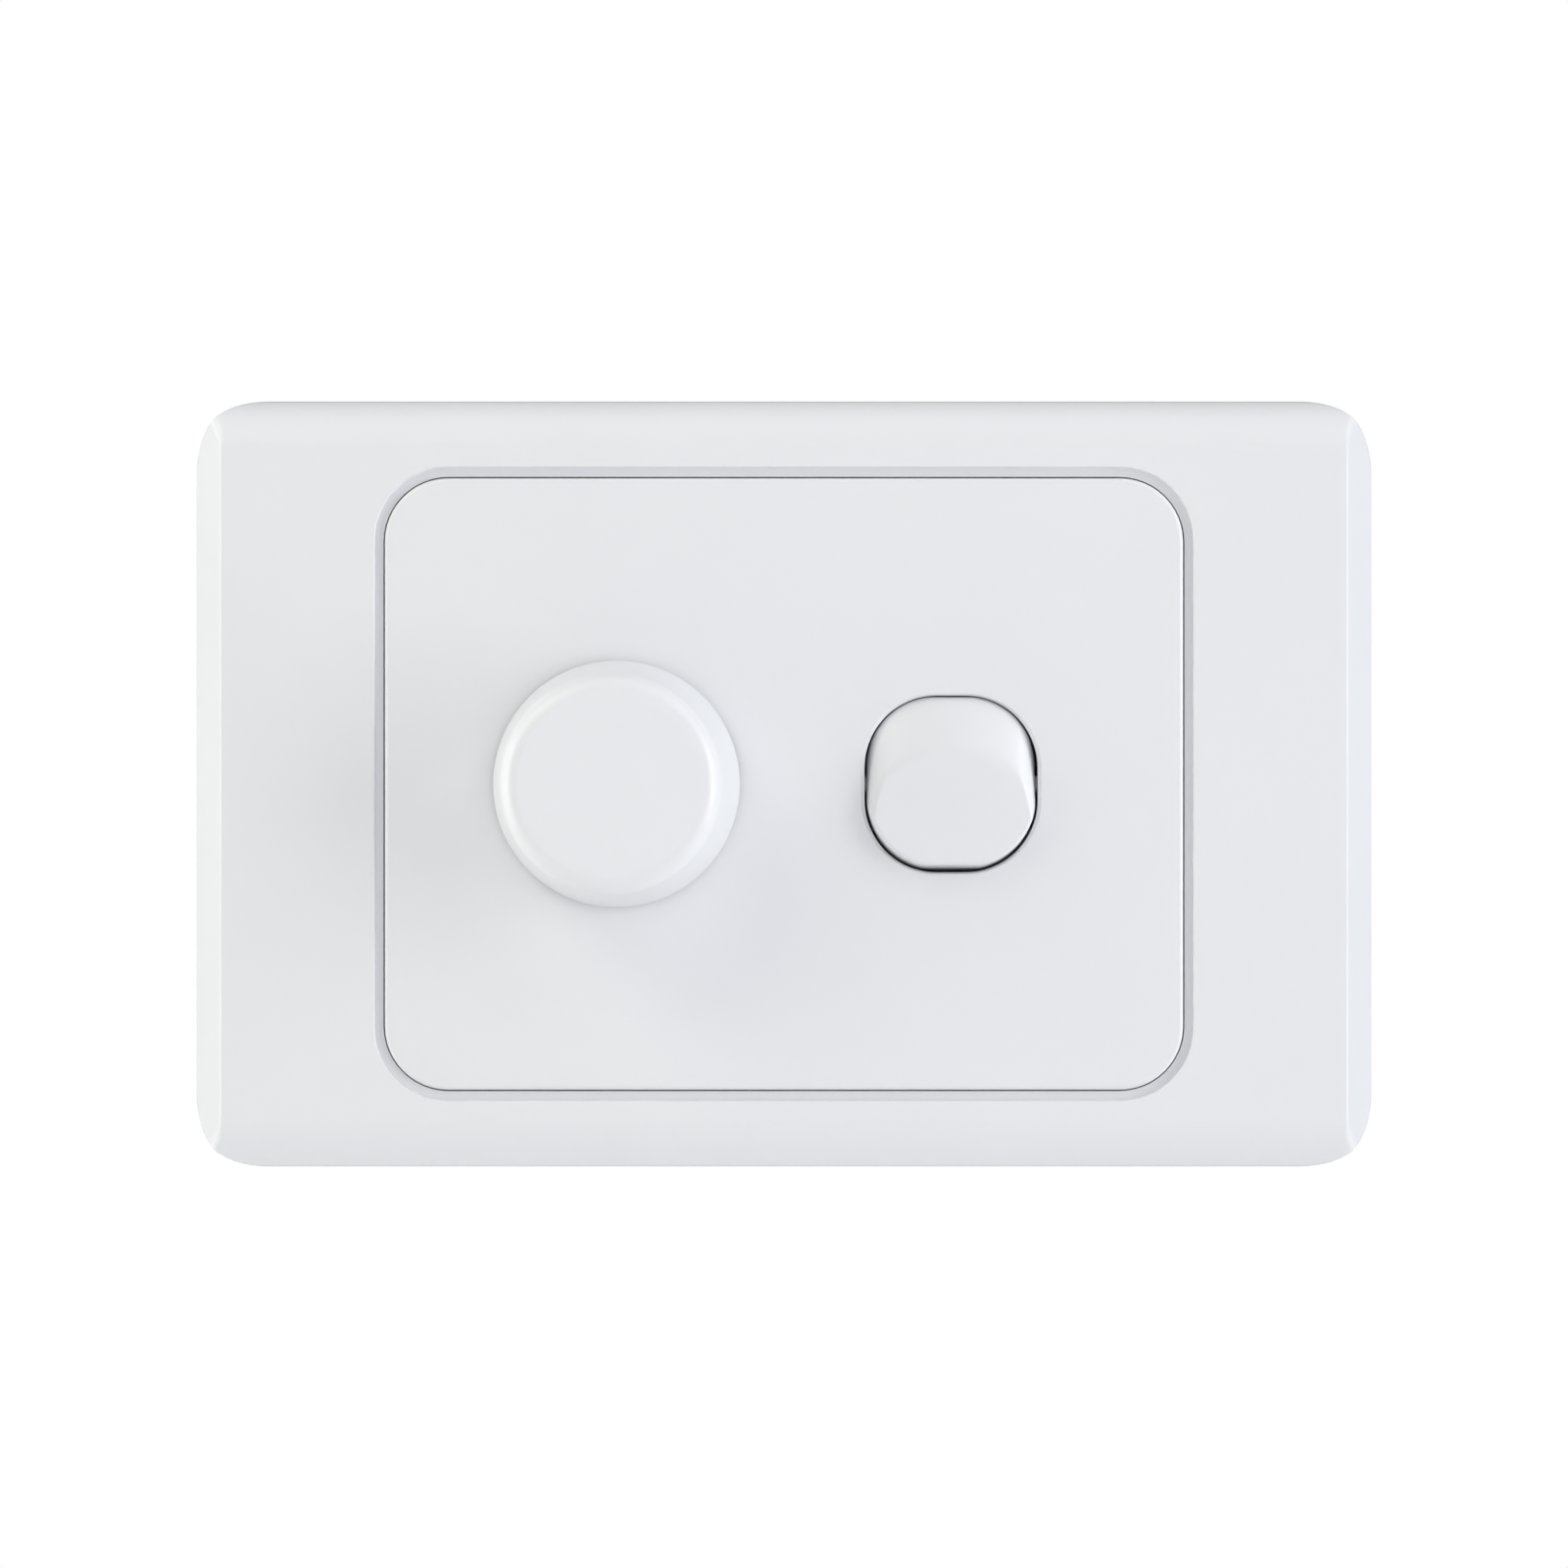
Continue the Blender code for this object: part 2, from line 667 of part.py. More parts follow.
def lower_end(depth):
    """Height of the rocker's lower end wall at a depth; it leans by the full travel."""
    return -ROCKER_TOP + math.tan(ROCKER_TRAVEL) * (PIVOT_Y - depth)


def rocker_plan(name):
    """The rocker's rounded square, extruded past its front and its back."""
    plan = rounded_rectangle(*ROCKER_HALF, ROCKER_CORNER)
    span = (ROCKER_FRONT - OVERRUN, ROCKER_BACK + OVERRUN)
    return prism(name, plan, "XZ", span, at=(MODULE_X, 0, 0))


def build_rocker():
    rocker = rocker_plan("rocker")
    pressed = rocker_plan("rocker_pressed")
    pivot = Matrix.Translation((0, PIVOT_Y * MM, 0))
    turn_back = Matrix.Rotation(-ROCKER_TRAVEL, 4, "X")
    pressed.matrix_world = pivot @ turn_back @ pivot.inverted() @ pressed.matrix_world
    side_outline = [
        (ROCKER_FRONT, lower_end(ROCKER_FRONT)),
        (ROCKER_BACK, lower_end(ROCKER_BACK)),
        (ROCKER_BACK, ROCKER_TOP),
        (ROCKER_FRONT, ROCKER_TOP),
    ]
    reach = ROCKER_HALF[0] + OVERRUN
    sides = prism("rocker_sides", side_outline, "YZ", (MODULE_X - reach, MODULE_X + reach))
    outward = Vector((0, -math.cos(UPPER_TILT), math.sin(UPPER_TILT)))
    along = Vector((0, math.sin(UPPER_TILT), math.cos(UPPER_TILT)))
    crest = Vector((MODULE_X, ROCKER_FRONT, CREST_Z))
    start = crest - outward * UPPER_RADIUS - along * UPPER_RADIUS
    crown = cylinder("rocker_crown", UPPER_RADIUS, 2 * UPPER_RADIUS, start, along, CROWN_SEGMENTS)
    keep_common(rocker, pressed, sides, crown)
    half, corner = ROCKER_HOLLOW
    hollow = rounded_rectangle(half, half, corner)
    span = (ROCKER_CEILING, ROCKER_BACK + 2 * OVERRUN)
    cut(rocker, prism("rocker_hollow", hollow, "XZ", span, at=(MODULE_X, 0, 0)))
    radius, half_length = TRUNNION
    start = (MODULE_X - half_length, PIVOT_Y, 0)
    trunnions = cylinder("trunnions", radius, 2 * half_length, start, (1, 0, 0))
    length = POST_SPAN[1] - POST_SPAN[0]
    post = cylinder("rocker_post", POST_RADIUS, length, post_point(POST_SPAN[0]), POST_DIRECTION)
    join(rocker, trunnions, post)
    bore_length = POST_SPAN[1] + OVERRUN - BORE_START
    bore = cylinder("post_bore", BORE_RADIUS, bore_length, post_point(BORE_START), POST_DIRECTION)
    cut(rocker, bore)
    finish(rocker, "white_plastic")


def build_plunger():
    nose = [
        (PLUNGER_RADIUS * math.sin(angle), PLUNGER_SPAN[1] + PLUNGER_RADIUS * math.cos(angle))
        for angle in (math.pi / 2 * step / 4 for step in range(5))
    ]
    profile = nose + [(PLUNGER_RADIUS, PLUNGER_SPAN[0]), (0, PLUNGER_SPAN[0])]
    plunger = turned("plunger", profile, post_point(0), POST_DIRECTION, TINY_SEGMENTS)
    finish(plunger, "grey_plastic")


def helix(radius, start, end, turns, steps_per_turn=12):
    steps = turns * steps_per_turn
    points = []
    for step in range(steps + 1):
        angle = math.tau * turns * step / steps
        height = start + (end - start) * step / steps
        points.append((radius * math.cos(angle), radius * math.sin(angle), height))
    return points


def build_plunger_spring():
    points = helix(SPRING_COIL, *SPRING_SPAN, SPRING_TURNS)
    spring = wire("plunger_spring", points, SPRING_WIRE, post_point(0), POST_DIRECTION)
    finish(spring, "steel")


def centred(half, middle=MODULE_X):
    return (middle - half, middle + half)


def build_switch_housing():
    depth = (MODULE_FRONT, SWITCH_BACK)
    housing = block("switch_housing", centred(WAIST_HALF[0]), depth, centred(WAIST_HALF[1], 0))
    collar_depth = (MODULE_FRONT, COLLAR_BACK)
    collar_z = centred(COLLAR_HALF[1], 0)
    join(housing, block("switch_collar", centred(COLLAR_HALF[0]), collar_depth, collar_z))
    bore = rounded_rectangle(*SWITCH_BORE_HALF, OVERRUN)
    through = (MODULE_FRONT - OVERRUN, SWITCH_BACK + OVERRUN)
    cut(housing, prism("switch_bore", bore, "XZ", through, at=(MODULE_X, 0, 0)))
    half_width, half_length, floor = TRUNNION_SLOT
    slot_depth = (MODULE_FRONT - OVERRUN, floor)
    cut(housing, block("trunnion_slot", centred(half_length), slot_depth, centred(half_width, 0)))
    for side in (-1, 1):
        limits = sorted((side * (WAIST_HALF[1] - GAP), side * (ARM_Z[1] - GAP)))
        barb_depth = (WINDOW_Y[0] + GAP, WINDOW_Y[1] - GAP)
        join(housing, block("housing_barb", centred(WINDOW_HALF_WIDTH - GAP), barb_depth, limits))
    finish(housing, "white_plastic")


def build_switch_base():
    half_x, half_z = FLOOR_HALF
    base = block("switch_base", centred(half_x), FLOOR_Y, centred(half_z, 0))
    root = FLOOR_Y[1] - GAP
    walls = (root, WALLS_BACK)
    join(base, block("middle_wall", centred(WALL / 2), walls, centred(half_z, 0)))
    for side in (-1, 1):
        outer = MODULE_X + side * half_x
        join(base, block("side_wall", sorted((outer, outer - side * WALL)), walls, centred(half_z, 0)))
        cross_z = sorted((side * CROSS_WALL_Z[0], side * CROSS_WALL_Z[1]))
        join(base, block("cross_wall", centred(half_x), walls, cross_z))
        arm_z = sorted((side * ARM_Z[0], side * ARM_Z[1]))
        join(base, block("snap_arm", centred(ARM_HALF_WIDTH), (ARM_Y, FLOOR_Y[0] + GAP), arm_z))
        window_z = sorted((side * (ARM_Z[0] - OVERRUN), side * (ARM_Z[1] + OVERRUN)))
        cut(base, block("arm_window", centred(WINDOW_HALF_WIDTH), WINDOW_Y, window_z))
    through = (FLOOR_Y[0] - OVERRUN, FLOOR_Y[1] + GAP)
    for side_x, side_z in ((1, 1), (1, -1), (-1, -1)):
        slot_x = sorted(MODULE_X + side_x * x for x in (LEG_X[0] - GAP, LEG_X[1] + GAP))
        slot_z = sorted(side_z * z for z in (LEG_Z[0] - GAP, LEG_Z[1] + GAP))
        cut(base, block("leg_slot", slot_x, through, slot_z))
    finish(base, "white_plastic")


def seesaw_point(along, behind):
    """A point on the tilted see-saw, along its length and behind its mid plane."""
    cos, sin = math.cos(SEESAW_TILT), math.sin(SEESAW_TILT)
    return (MODULE_X, SEESAW_Y + behind * cos - along * sin, behind * sin + along * cos)


def build_seesaw():
    """The moving contact arm and its two silver rivets, tilted to the off position."""
    half_x, half_z = SEESAW_HALF
    half_thick = SEESAW_THICK / 2
    corners = ((-half_thick, -half_z), (half_thick, -half_z), (half_thick, half_z), (-half_thick, half_z))
    outline = [seesaw_point(along, behind)[1:] for behind, along in corners]
    arm = prism("contact_arm", outline, "YZ", centred(half_x))
    behind_arm = (0, math.cos(SEESAW_TILT), math.sin(SEESAW_TILT))
    for side in (-1, 1):
        start = seesaw_point(side * CONTACT_Z, -OVERRUN)
        cut(arm, cylinder("rivet_hole", RIVET_HOLE, 2 * OVERRUN, start, behind_arm, TINY_SEGMENTS))
    finish(arm, "brass")
    for name, side in (("moving_rivet_top", 1), ("moving_rivet_bottom", -1)):
        profile = [
            (0, MOVING_HEAD_THICK),
            (RIVET_HEAD, MOVING_HEAD_THICK),
            (RIVET_HEAD, 0),
            (RIVET_SHANK, 0),
            (RIVET_SHANK, -SEESAW_THICK - GAP),
            (0, -SEESAW_THICK - GAP),
        ]
        seat = seesaw_point(side * CONTACT_Z, half_thick + GAP)
        finish(turned(name, profile, seat, behind_arm, TINY_SEGMENTS), "silver")


def build_fixed_contacts():
    sides = (("top", 1), ("bottom", -1))
    for place, side in sides:
        name = "fixed_contact_" + place
        strip_x = (MODULE_X + STRIP_X[0], MODULE_X + STRIP_X[1])
        strip_z = sorted((side * STRIP_Z[0], side * STRIP_Z[1]))
        strip = block(name, strip_x, STRIP_Y, strip_z)
        leg_x = (MODULE_X + LEG_X[0], MODULE_X + LEG_X[1])
        leg_z = sorted((side * LEG_Z[0], side * LEG_Z[1]))
        join(strip, block("contact_leg", leg_x, (STRIP_Y[1] - GAP, LEG_BACK), leg_z))
        start = (MODULE_X, STRIP_Y[0] - OVERRUN, side * CONTACT_Z)
        cut(strip, cylinder("strip_hole", RIVET_HOLE, 3 * OVERRUN, start, REAR, TINY_SEGMENTS))
        finish(strip, "brass")
        head = STRIP_Y[0] - GAP - FIXED_HEAD_Y
        profile = [
            (0, head),
            (RIVET_HEAD - GAP, head),
            (RIVET_HEAD, head - GAP),
            (RIVET_HEAD, 0),
            (RIVET_SHANK, 0),
            (RIVET_SHANK, -SEESAW_THICK - GAP),
            (0, -SEESAW_THICK - GAP),
        ]
        seat = (MODULE_X, STRIP_Y[0] - GAP, side * CONTACT_Z)
        finish(turned("fixed_rivet_" + place, profile, seat, FRONT, TINY_SEGMENTS), "silver")


def build_common_contact():
    strip_x = (MODULE_X - STRIP_X[1], MODULE_X + FULCRUM_HALF_X)
    common = block("common_contact", strip_x, STRIP_Y, centred(COMMON_HALF_Z, 0))
    tip_y, tip_half = FULCRUM_TIP
    foot_y = STRIP_Y[0] + GAP
    ridge = [(foot_y, -FULCRUM_FOOT), (foot_y, FULCRUM_FOOT), (tip_y, tip_half), (tip_y, -tip_half)]
    leg_x = (MODULE_X - LEG_X[1], MODULE_X - LEG_X[0])
    tail = block("common_tail", leg_x, STRIP_Y, (-LEG_Z[1], -COMMON_HALF_Z + GAP))
    leg = block("common_leg", leg_x, (STRIP_Y[1] - GAP, LEG_BACK), (-LEG_Z[1], -LEG_Z[0]))
    join(common, prism("fulcrum", ridge, "YZ", centred(FULCRUM_HALF_X)), tail, leg)
    finish(common, "brass")


# --- terminals -----------------------------------------------------------------------
def build_terminal(name, x, y, z_low):
    """A brass tunnel terminal, with its clamp screw on the rear side."""
    z_high = z_low + TERMINAL_LENGTH
    body = block(name, centred(TERMINAL_HALF_X, x), (y, y + TERMINAL_DEPTH), (z_low, z_high))
    tunnel_y = (y + TUNNEL_START, y + TUNNEL_START + TUNNEL)
    tunnel = block("tunnel", centred(TUNNEL / 2, x), tunnel_y, (z_low - OVERRUN, z_high + OVERRUN))
    z_mid = (z_low + z_high) / 2
    start = (x, tunnel_y[1] - GAP, z_mid)
    cut(body, tunnel, cylinder("clamp_bore", TERMINAL_BORE, TERMINAL_DEPTH, start, REAR, TINY_SEGMENTS))
    finish(body, "brass")
    head_radius, head_height = TERMINAL_HEAD
    shank_length = TERMINAL_DEPTH - TUNNEL_START - TUNNEL
    profile = [
        (0, head_height),
        (head_radius - GAP, head_height),
        (head_radius, head_height - GAP),
        (head_radius, 0),
        (TERMINAL_SHANK, 0),
        (TERMINAL_SHANK, -shank_length),
        (0, -shank_length),
    ]
    seat = y + TERMINAL_DEPTH + GAP
    screw = turned(name + "_screw", profile, (x, seat, z_mid), REAR, TERMINAL_HEAD_SEGMENTS)
    cross_recess(screw, (x, z_mid), seat + head_height, 1)
    finish(screw, "zinc")


def build_terminals():
    low = -SWITCH_TERMINAL_Z - TERMINAL_LENGTH
    left = MODULE_X - SWITCH_TERMINAL_X
    right = MODULE_X + SWITCH_TERMINAL_X
    build_terminal("terminal_common", left, SWITCH_TERMINAL_Y, low)
    build_terminal("terminal_loop", left, SWITCH_TERMINAL_Y, SWITCH_TERMINAL_Z)
    build_terminal("terminal_bottom", right, SWITCH_TERMINAL_Y, low)
    build_terminal("terminal_top", right, SWITCH_TERMINAL_Y, SWITCH_TERMINAL_Z)
    for name, side in (("dimmer_terminal_line", -1), ("dimmer_terminal_load", 1)):
        x = -MODULE_X + side * DIMMER_TERMINAL_X
        build_terminal(name, x, DIMMER_TERMINAL_Y, DIMMER_TERMINAL_Z)


# --- knob and potentiometer ----------------------------------------------------------
def on_dimmer(y, z=0.0):
    return (-MODULE_X, y, z)


def d_outline(radius, flat):
    """A circle cut by a flat at +Z."""
    edge = math.degrees(math.acos(flat / radius))
    return arc_points(radius, edge, 360 - edge, ROUND_SEGMENTS)


def build_knob():
    profile = [(0, KNOB_HEIGHT)]
    for step in range(ARC_STEPS + 1):
        angle = math.pi / 2 * step / ARC_STEPS
        radius = KNOB_TOP + (KNOB_SHOULDER - KNOB_TOP) * math.sin(angle)
        profile.append((radius, KNOB_HEIGHT - KNOB_FILLET + KNOB_FILLET * math.cos(angle)))
    profile += [
        (KNOB_BASE, 0),
        (KNOB_BASE - KNOB_WALL, 0),
        (KNOB_SHOULDER - KNOB_WALL, KNOB_HEIGHT - KNOB_FILLET),
        (KNOB_TOP - KNOB_WALL / 2, KNOB_HEIGHT - KNOB_WALL),
        (KNOB_HUB, KNOB_HEIGHT - KNOB_WALL),
        (KNOB_HUB, KNOB_HUB_START),
        (0, KNOB_HUB_START),
    ]
    knob = turned("dimmer_knob", profile, on_dimmer(KNOB_BACK), FRONT, KNOB_SEGMENTS)
    bore = d_outline(SHAFT_RADIUS + GAP, SHAFT_FLAT + GAP)
    span = (SHAFT_FRONT - GAP, KNOB_BACK)
    cut(knob, prism("knob_bore", bore, "XZ", span, at=on_dimmer(0)))
    finish(knob, "white_plastic")


def build_pot_shaft():
    shaft = cylinder("pot_shaft", SHAFT_RADIUS, SHAFT_BACK - SHAFT_FRONT, on_dimmer(SHAFT_FRONT), REAR)
    limit = (SHAFT_FRONT - OVERRUN, SHAFT_FLAT_START)
    flat = block("shaft_flat", centred(2 * SHAFT_RADIUS, -MODULE_X), limit, (SHAFT_FLAT, 2 * SHAFT_RADIUS))
    finish(cut(shaft, flat), "aluminium")


def build_pot_bush():
    radius, front, back = POT_PLATE
    bush = turned(
        "pot_bush",
        [
            (SHAFT_RADIUS + GAP, -BUSH_FRONT),
            (BUSH_RADIUS - GAP, -BUSH_FRONT),
            (BUSH_RADIUS, -BUSH_FRONT - GAP),
            (BUSH_RADIUS, -front),
            (radius, -front),
            (radius, -back),
            (SHAFT_RADIUS + GAP, -back),
        ],
        on_dimmer(0),
        FRONT,
    )
    finish(bush, "zinc")


def build_pot_nut_and_washer():
    corner_radius = NUT_FLATS / 2 / math.cos(math.pi / 6)
    nut = cylinder("pot_nut", corner_radius, NUT_Y[1] - NUT_Y[0], on_dimmer(NUT_Y[0]), REAR, segments=6)
    nut_hole = cylinder("nut_hole", BUSH_RADIUS + GAP, 4 * OVERRUN, on_dimmer(NUT_Y[0] - OVERRUN), REAR)
    finish(cut(nut, nut_hole), "zinc")
    washer = turned(
        "pot_washer",
        [
            (BUSH_RADIUS + GAP, -WASHER_Y[0]),
            (WASHER_RADIUS, -WASHER_Y[0]),
            (WASHER_RADIUS, -WASHER_Y[1]),
            (BUSH_RADIUS + GAP, -WASHER_Y[1]),
        ],
        on_dimmer(0),
        FRONT,
    )
    finish(washer, "zinc")


def sector(inner, outer, middle, half_angle, steps=4):
    """A ring sector centred on an angle, in degrees clockwise from straight up."""
    outside = arc_points(outer, middle - half_angle, middle + half_angle, steps)
    inside = arc_points(inner, middle + half_angle, middle - half_angle, steps)
    return outside + inside


def build_pot_body():
    front, back = CAN_Y
    can = cylinder("pot_body", CAN_RADIUS, back - front, on_dimmer(front), REAR, WIDE_SEGMENTS)
    inner_radius = CAN_RADIUS - CAN_WALL
    inner_length = back - CAN_WALL - front + OVERRUN
    start = on_dimmer(front - OVERRUN)
    inner = cylinder("can_hollow", inner_radius, inner_length, start, REAR, WIDE_SEGMENTS)
    slot_x = (-MODULE_X + PIN_X[0] - OVERRUN, -MODULE_X + PIN_X[-1] + OVERRUN)
    slot_z = (PIN_Z - PIN_HALF - GAP, PIN_Z + PIN_HALF + GAP)
    slot = block("pin_slot", slot_x, (back - OVERRUN, back + OVERRUN), slot_z)
    cut(can, inner, slot)
    stop = sector(STOP_INNER, CAN_RADIUS - CAN_WALL / 2, 180, STOP_HALF_ANGLE)
    join(can, prism("turn_stop", stop, "XZ", STOP_Y, at=on_dimmer(0)))
    finish(can, "zinc")


def build_pot_wiper():
    wiper = cylinder("pot_wiper", WIPER_RADIUS, WIPER_Y[1] - WIPER_Y[0], on_dimmer(WIPER_Y[0]), REAR)
    reach, half_angle = WIPER_LUG
    lug = sector(WIPER_RADIUS - OVERRUN, reach, TURN_START, half_angle, steps=2)
    join(wiper, prism("wiper_lug", lug, "XZ", WIPER_Y, at=on_dimmer(0)))
    finish(wiper, "phenolic")


def build_pot_track():
    depth = TRACK_Y[1] - TRACK_Y[0]
    track = cylinder("pot_track", TRACK_RADIUS, depth, on_dimmer(TRACK_Y[0]), REAR)
    for pin_x in PIN_X:
        x = centred(PIN_HALF, -MODULE_X + pin_x)
        join(track, block("track_pin", x, (TRACK_Y[1] - GAP, BOARD_Y[0] - GAP), centred(PIN_HALF, PIN_Z)))
    start = on_dimmer(TRACK_Y[0] - OVERRUN)
    cut(track, cylinder("track_hole", TRACK_BORE, depth + 2 * OVERRUN, start, REAR, TINY_SEGMENTS))
    finish(track, "phenolic")


# --- dimmer module -------------------------------------------------------------------
def beside(limits):
    """Limits across the dimmer, counted from its own centre line."""
    return (-MODULE_X + limits[0], -MODULE_X + limits[1])


def build_dimmer_housing():
    outline = rounded_rectangle(*DIMMER_HALF, DIMMER_CORNER, COARSE_ARC_STEPS)
    depth = (DIMMER_SHOULDER, DIMMER_BACK)
    housing = prism("dimmer_housing", outline, "XZ", depth, at=on_dimmer(0))
    waist_depth = (COLLAR_BACK - GAP, DIMMER_SHOULDER + GAP)
    waist_z = centred(WAIST_HALF[1], 0)
    waist = block("dimmer_waist", centred(WAIST_HALF[0], -MODULE_X), waist_depth, waist_z)
    collar_depth = (MODULE_FRONT, COLLAR_BACK)
    collar_z = centred(COLLAR_HALF[1], 0)
    collar = block("dimmer_collar", centred(COLLAR_HALF[0], -MODULE_X), collar_depth, collar_z)
    square = rounded_rectangle(NECK_HALF, NECK_HALF, NECK_CORNER)
    neck = prism("dimmer_neck", square, "XZ", (NECK_FRONT, MODULE_FRONT + GAP), at=on_dimmer(0))
    join(housing, waist, collar, neck)
    inner_half = (DIMMER_HALF[0] - DIMMER_WALL, DIMMER_HALF[1] - DIMMER_WALL)
    inner_depth = (DIMMER_SHOULDER + DIMMER_WALL, DIMMER_BACK + OVERRUN)
    room_z = centred(inner_half[1], 0)
    room = block("dimmer_room", centred(inner_half[0], -MODULE_X), inner_depth, room_z)
    radius, front = POT_CHAMBER
    chamber_length = inner_depth[0] + OVERRUN - front
    chamber = cylinder("pot_chamber", radius, chamber_length, on_dimmer(front), REAR, WIDE_SEGMENTS)
    hole = cylinder("bush_hole", BUSH_RADIUS + GAP, 4 * OVERRUN, on_dimmer(NECK_FRONT - OVERRUN), REAR)
    cut(housing, room, chamber, hole)
    wire_y = DIMMER_TERMINAL_Y + TUNNEL_START + TUNNEL / 2
    for side in (-1, 1):
        x = -MODULE_X + side * DIMMER_TERMINAL_X
        below = (-DIMMER_HALF[1] - OVERRUN, -inner_half[1] + GAP)
        hole_x, hole_y = centred(WIRE_HOLE / 2, x), centred(WIRE_HOLE / 2, wire_y)
        cut(housing, block("wire_hole", hole_x, hole_y, below))
    finish(housing, "grey_plastic")


def build_rear_cover():
    front = DIMMER_BACK + GAP
    outline = rounded_rectangle(*DIMMER_HALF, DIMMER_CORNER, COARSE_ARC_STEPS)
    depth = (front, front + COVER_THICK)
    cover = prism("dimmer_rear_cover", outline, "XZ", depth, at=on_dimmer(0))
    lip_half = (DIMMER_HALF[0] - DIMMER_WALL - GAP, DIMMER_HALF[1] - DIMMER_WALL - GAP)
    lip_depth = (front - COVER_LIP, front + GAP)
    lip = block("cover_lip", centred(lip_half[0], -MODULE_X), lip_depth, centred(lip_half[1], 0))
    hollow_half = (lip_half[0] - WALL, lip_half[1] - WALL)
    hollow_depth = (front - COVER_LIP - OVERRUN, front)
    hollow_z = centred(hollow_half[1], 0)
    hollow = block("lip_hollow", centred(hollow_half[0], -MODULE_X), hollow_depth, hollow_z)
    join(cover, lip)
    cut(cover, hollow)
    z_mid = DIMMER_TERMINAL_Z + TERMINAL_LENGTH / 2
    for side in (-1, 1):
        start = (-MODULE_X + side * DIMMER_TERMINAL_X, front - OVERRUN, z_mid)
        cut(cover, cylinder("access_hole", ACCESS_HOLE, COVER_THICK + 2 * OVERRUN, start, REAR))
    finish(cover, "grey_plastic")


def build_circuit_board():
    board_z = centred(BOARD_HALF[1], 0)
    board = block("circuit_board", centred(BOARD_HALF[0], -MODULE_X), BOARD_Y, board_z)
    finish(board, "board_green")


def build_choke():
    centre = (-MODULE_X + CHOKE_AT[0], CHOKE_AT[1], CHOKE_AT[2])
    ring = []
    for step in range(TINY_SEGMENTS):
        angle = -math.tau * step / TINY_SEGMENTS
        ring.append((CHOKE_MAJOR + CHOKE_MINOR * math.cos(angle), CHOKE_MINOR * math.sin(angle)))
    finish(turned("choke_core", ring, centre, REAR), "ferrite")
    points = []
    steps = CHOKE_TURNS * CHOKE_TURN_STEPS
    first, last = CHOKE_SPAN
    for step in range(steps + 1):
        around = math.radians(first + (last - first) * step / steps)
        loop = math.tau * CHOKE_TURNS * step / steps
        radius = CHOKE_MAJOR + CHOKE_LOOP * math.cos(loop)
        points.append((radius * math.cos(around), radius * math.sin(around), CHOKE_LOOP * math.sin(loop)))
    finish(wire("choke_winding", points, CHOKE_WIRE, centre, REAR), "copper")


def build_power_parts():
    finish(block("film_capacitor", beside(CAPACITOR[0]), *CAPACITOR[1:]), "red_film")
    sink = block("heat_sink", beside(HEAT_SINK[0]), *HEAT_SINK[1:])
    tab = block("triac_tab", beside(TRIAC_TAB[0]), *TRIAC_TAB[1:])
    middle_z = (TRIAC_TAB[2][0] + TRIAC_TAB[2][1]) / 2
    for plate in (sink, tab):
        start = (-MODULE_X + TRIAC_TAB[0][0] - OVERRUN, TRIAC_HOLE_Y, middle_z)
        cut(plate, cylinder("triac_hole", TRIAC_HOLE, 6 * OVERRUN, start, (1, 0, 0), TINY_SEGMENTS))
    finish(sink, "aluminium")
    finish(tab, "silver")
    body = block("triac", beside(TRIAC_BODY[0]), *TRIAC_BODY[1:])
    leg_x = centred(PIN_HALF, -MODULE_X + (TRIAC_BODY[0][0] + TRIAC_BODY[0][1]) / 2)
    leg_y = (PARTS_FRONT, TRIAC_BODY[1][0] + GAP)
    for leg_z in TRIAC_LEG_Z:
        join(body, block("triac_leg", leg_x, leg_y, centred(PIN_HALF, leg_z)))
    finish(body, "black_plastic")
    head_seat = (-MODULE_X + TRIAC_TAB[0][0] - GAP, TRIAC_HOLE_Y, middle_z)
    reach = HEAT_SINK[0][1] - TRIAC_TAB[0][0] + GAP
    head_radius, head_height = TRIAC_SCREW_HEAD
    profile = [
        (0, head_height),
        (head_radius, head_height),
        (head_radius, 0),
        (TRIAC_SCREW_SHANK, 0),
        (TRIAC_SCREW_SHANK, -reach),
        (0, -reach),
    ]
    finish(turned("triac_screw", profile, head_seat, (-1, 0, 0), TINY_SEGMENTS), "zinc")


def axial_part(name, size, place, finish_name):
    """A small component lying along Z, with its two leads."""
    radius, length = size
    lead_radius, lead_length = LEAD
    half = length / 2
    tip = half + lead_length
    profile = [
        (0, tip),
        (lead_radius, tip),
        (lead_radius, half),
        (radius, half),
        (radius, -half),
        (lead_radius, -half),
        (lead_radius, -tip),
        (0, -tip),
    ]
    centre = (-MODULE_X + place[0], COMPONENT_Y, place[1])
    finish(turned(name, profile, centre, (0, 0, 1), LEAD_SEGMENTS), finish_name)


def build_small_parts():
    for number, place in enumerate(RESISTOR_AT, start=1):
        axial_part("resistor_" + str(number), RESISTOR, place, "phenolic")
    axial_part("diac", DIAC, DIAC_AT, "glass")
    radius, length = FUSE
    start = (-MODULE_X + FUSE_AT[0] - length / 2, COMPONENT_Y, FUSE_AT[1])
    finish(cylinder("fuse", radius, length, start, (1, 0, 0)), "glass")


def main():
    start_scene()
    build_surround()
    build_grid_plate()
    build_fixing_screws()
    build_rocker()
    build_plunger()
    build_plunger_spring()
    build_switch_housing()
    build_switch_base()
    build_seesaw()
    build_fixed_contacts()
    build_common_contact()
    build_terminals()
    build_knob()
    build_pot_shaft()
    build_pot_bush()
    build_pot_nut_and_washer()
    build_pot_body()
    build_pot_wiper()
    build_pot_track()
    build_dimmer_housing()
    build_rear_cover()
    build_circuit_board()
    build_choke()
    build_power_parts()
    build_small_parts()


main()
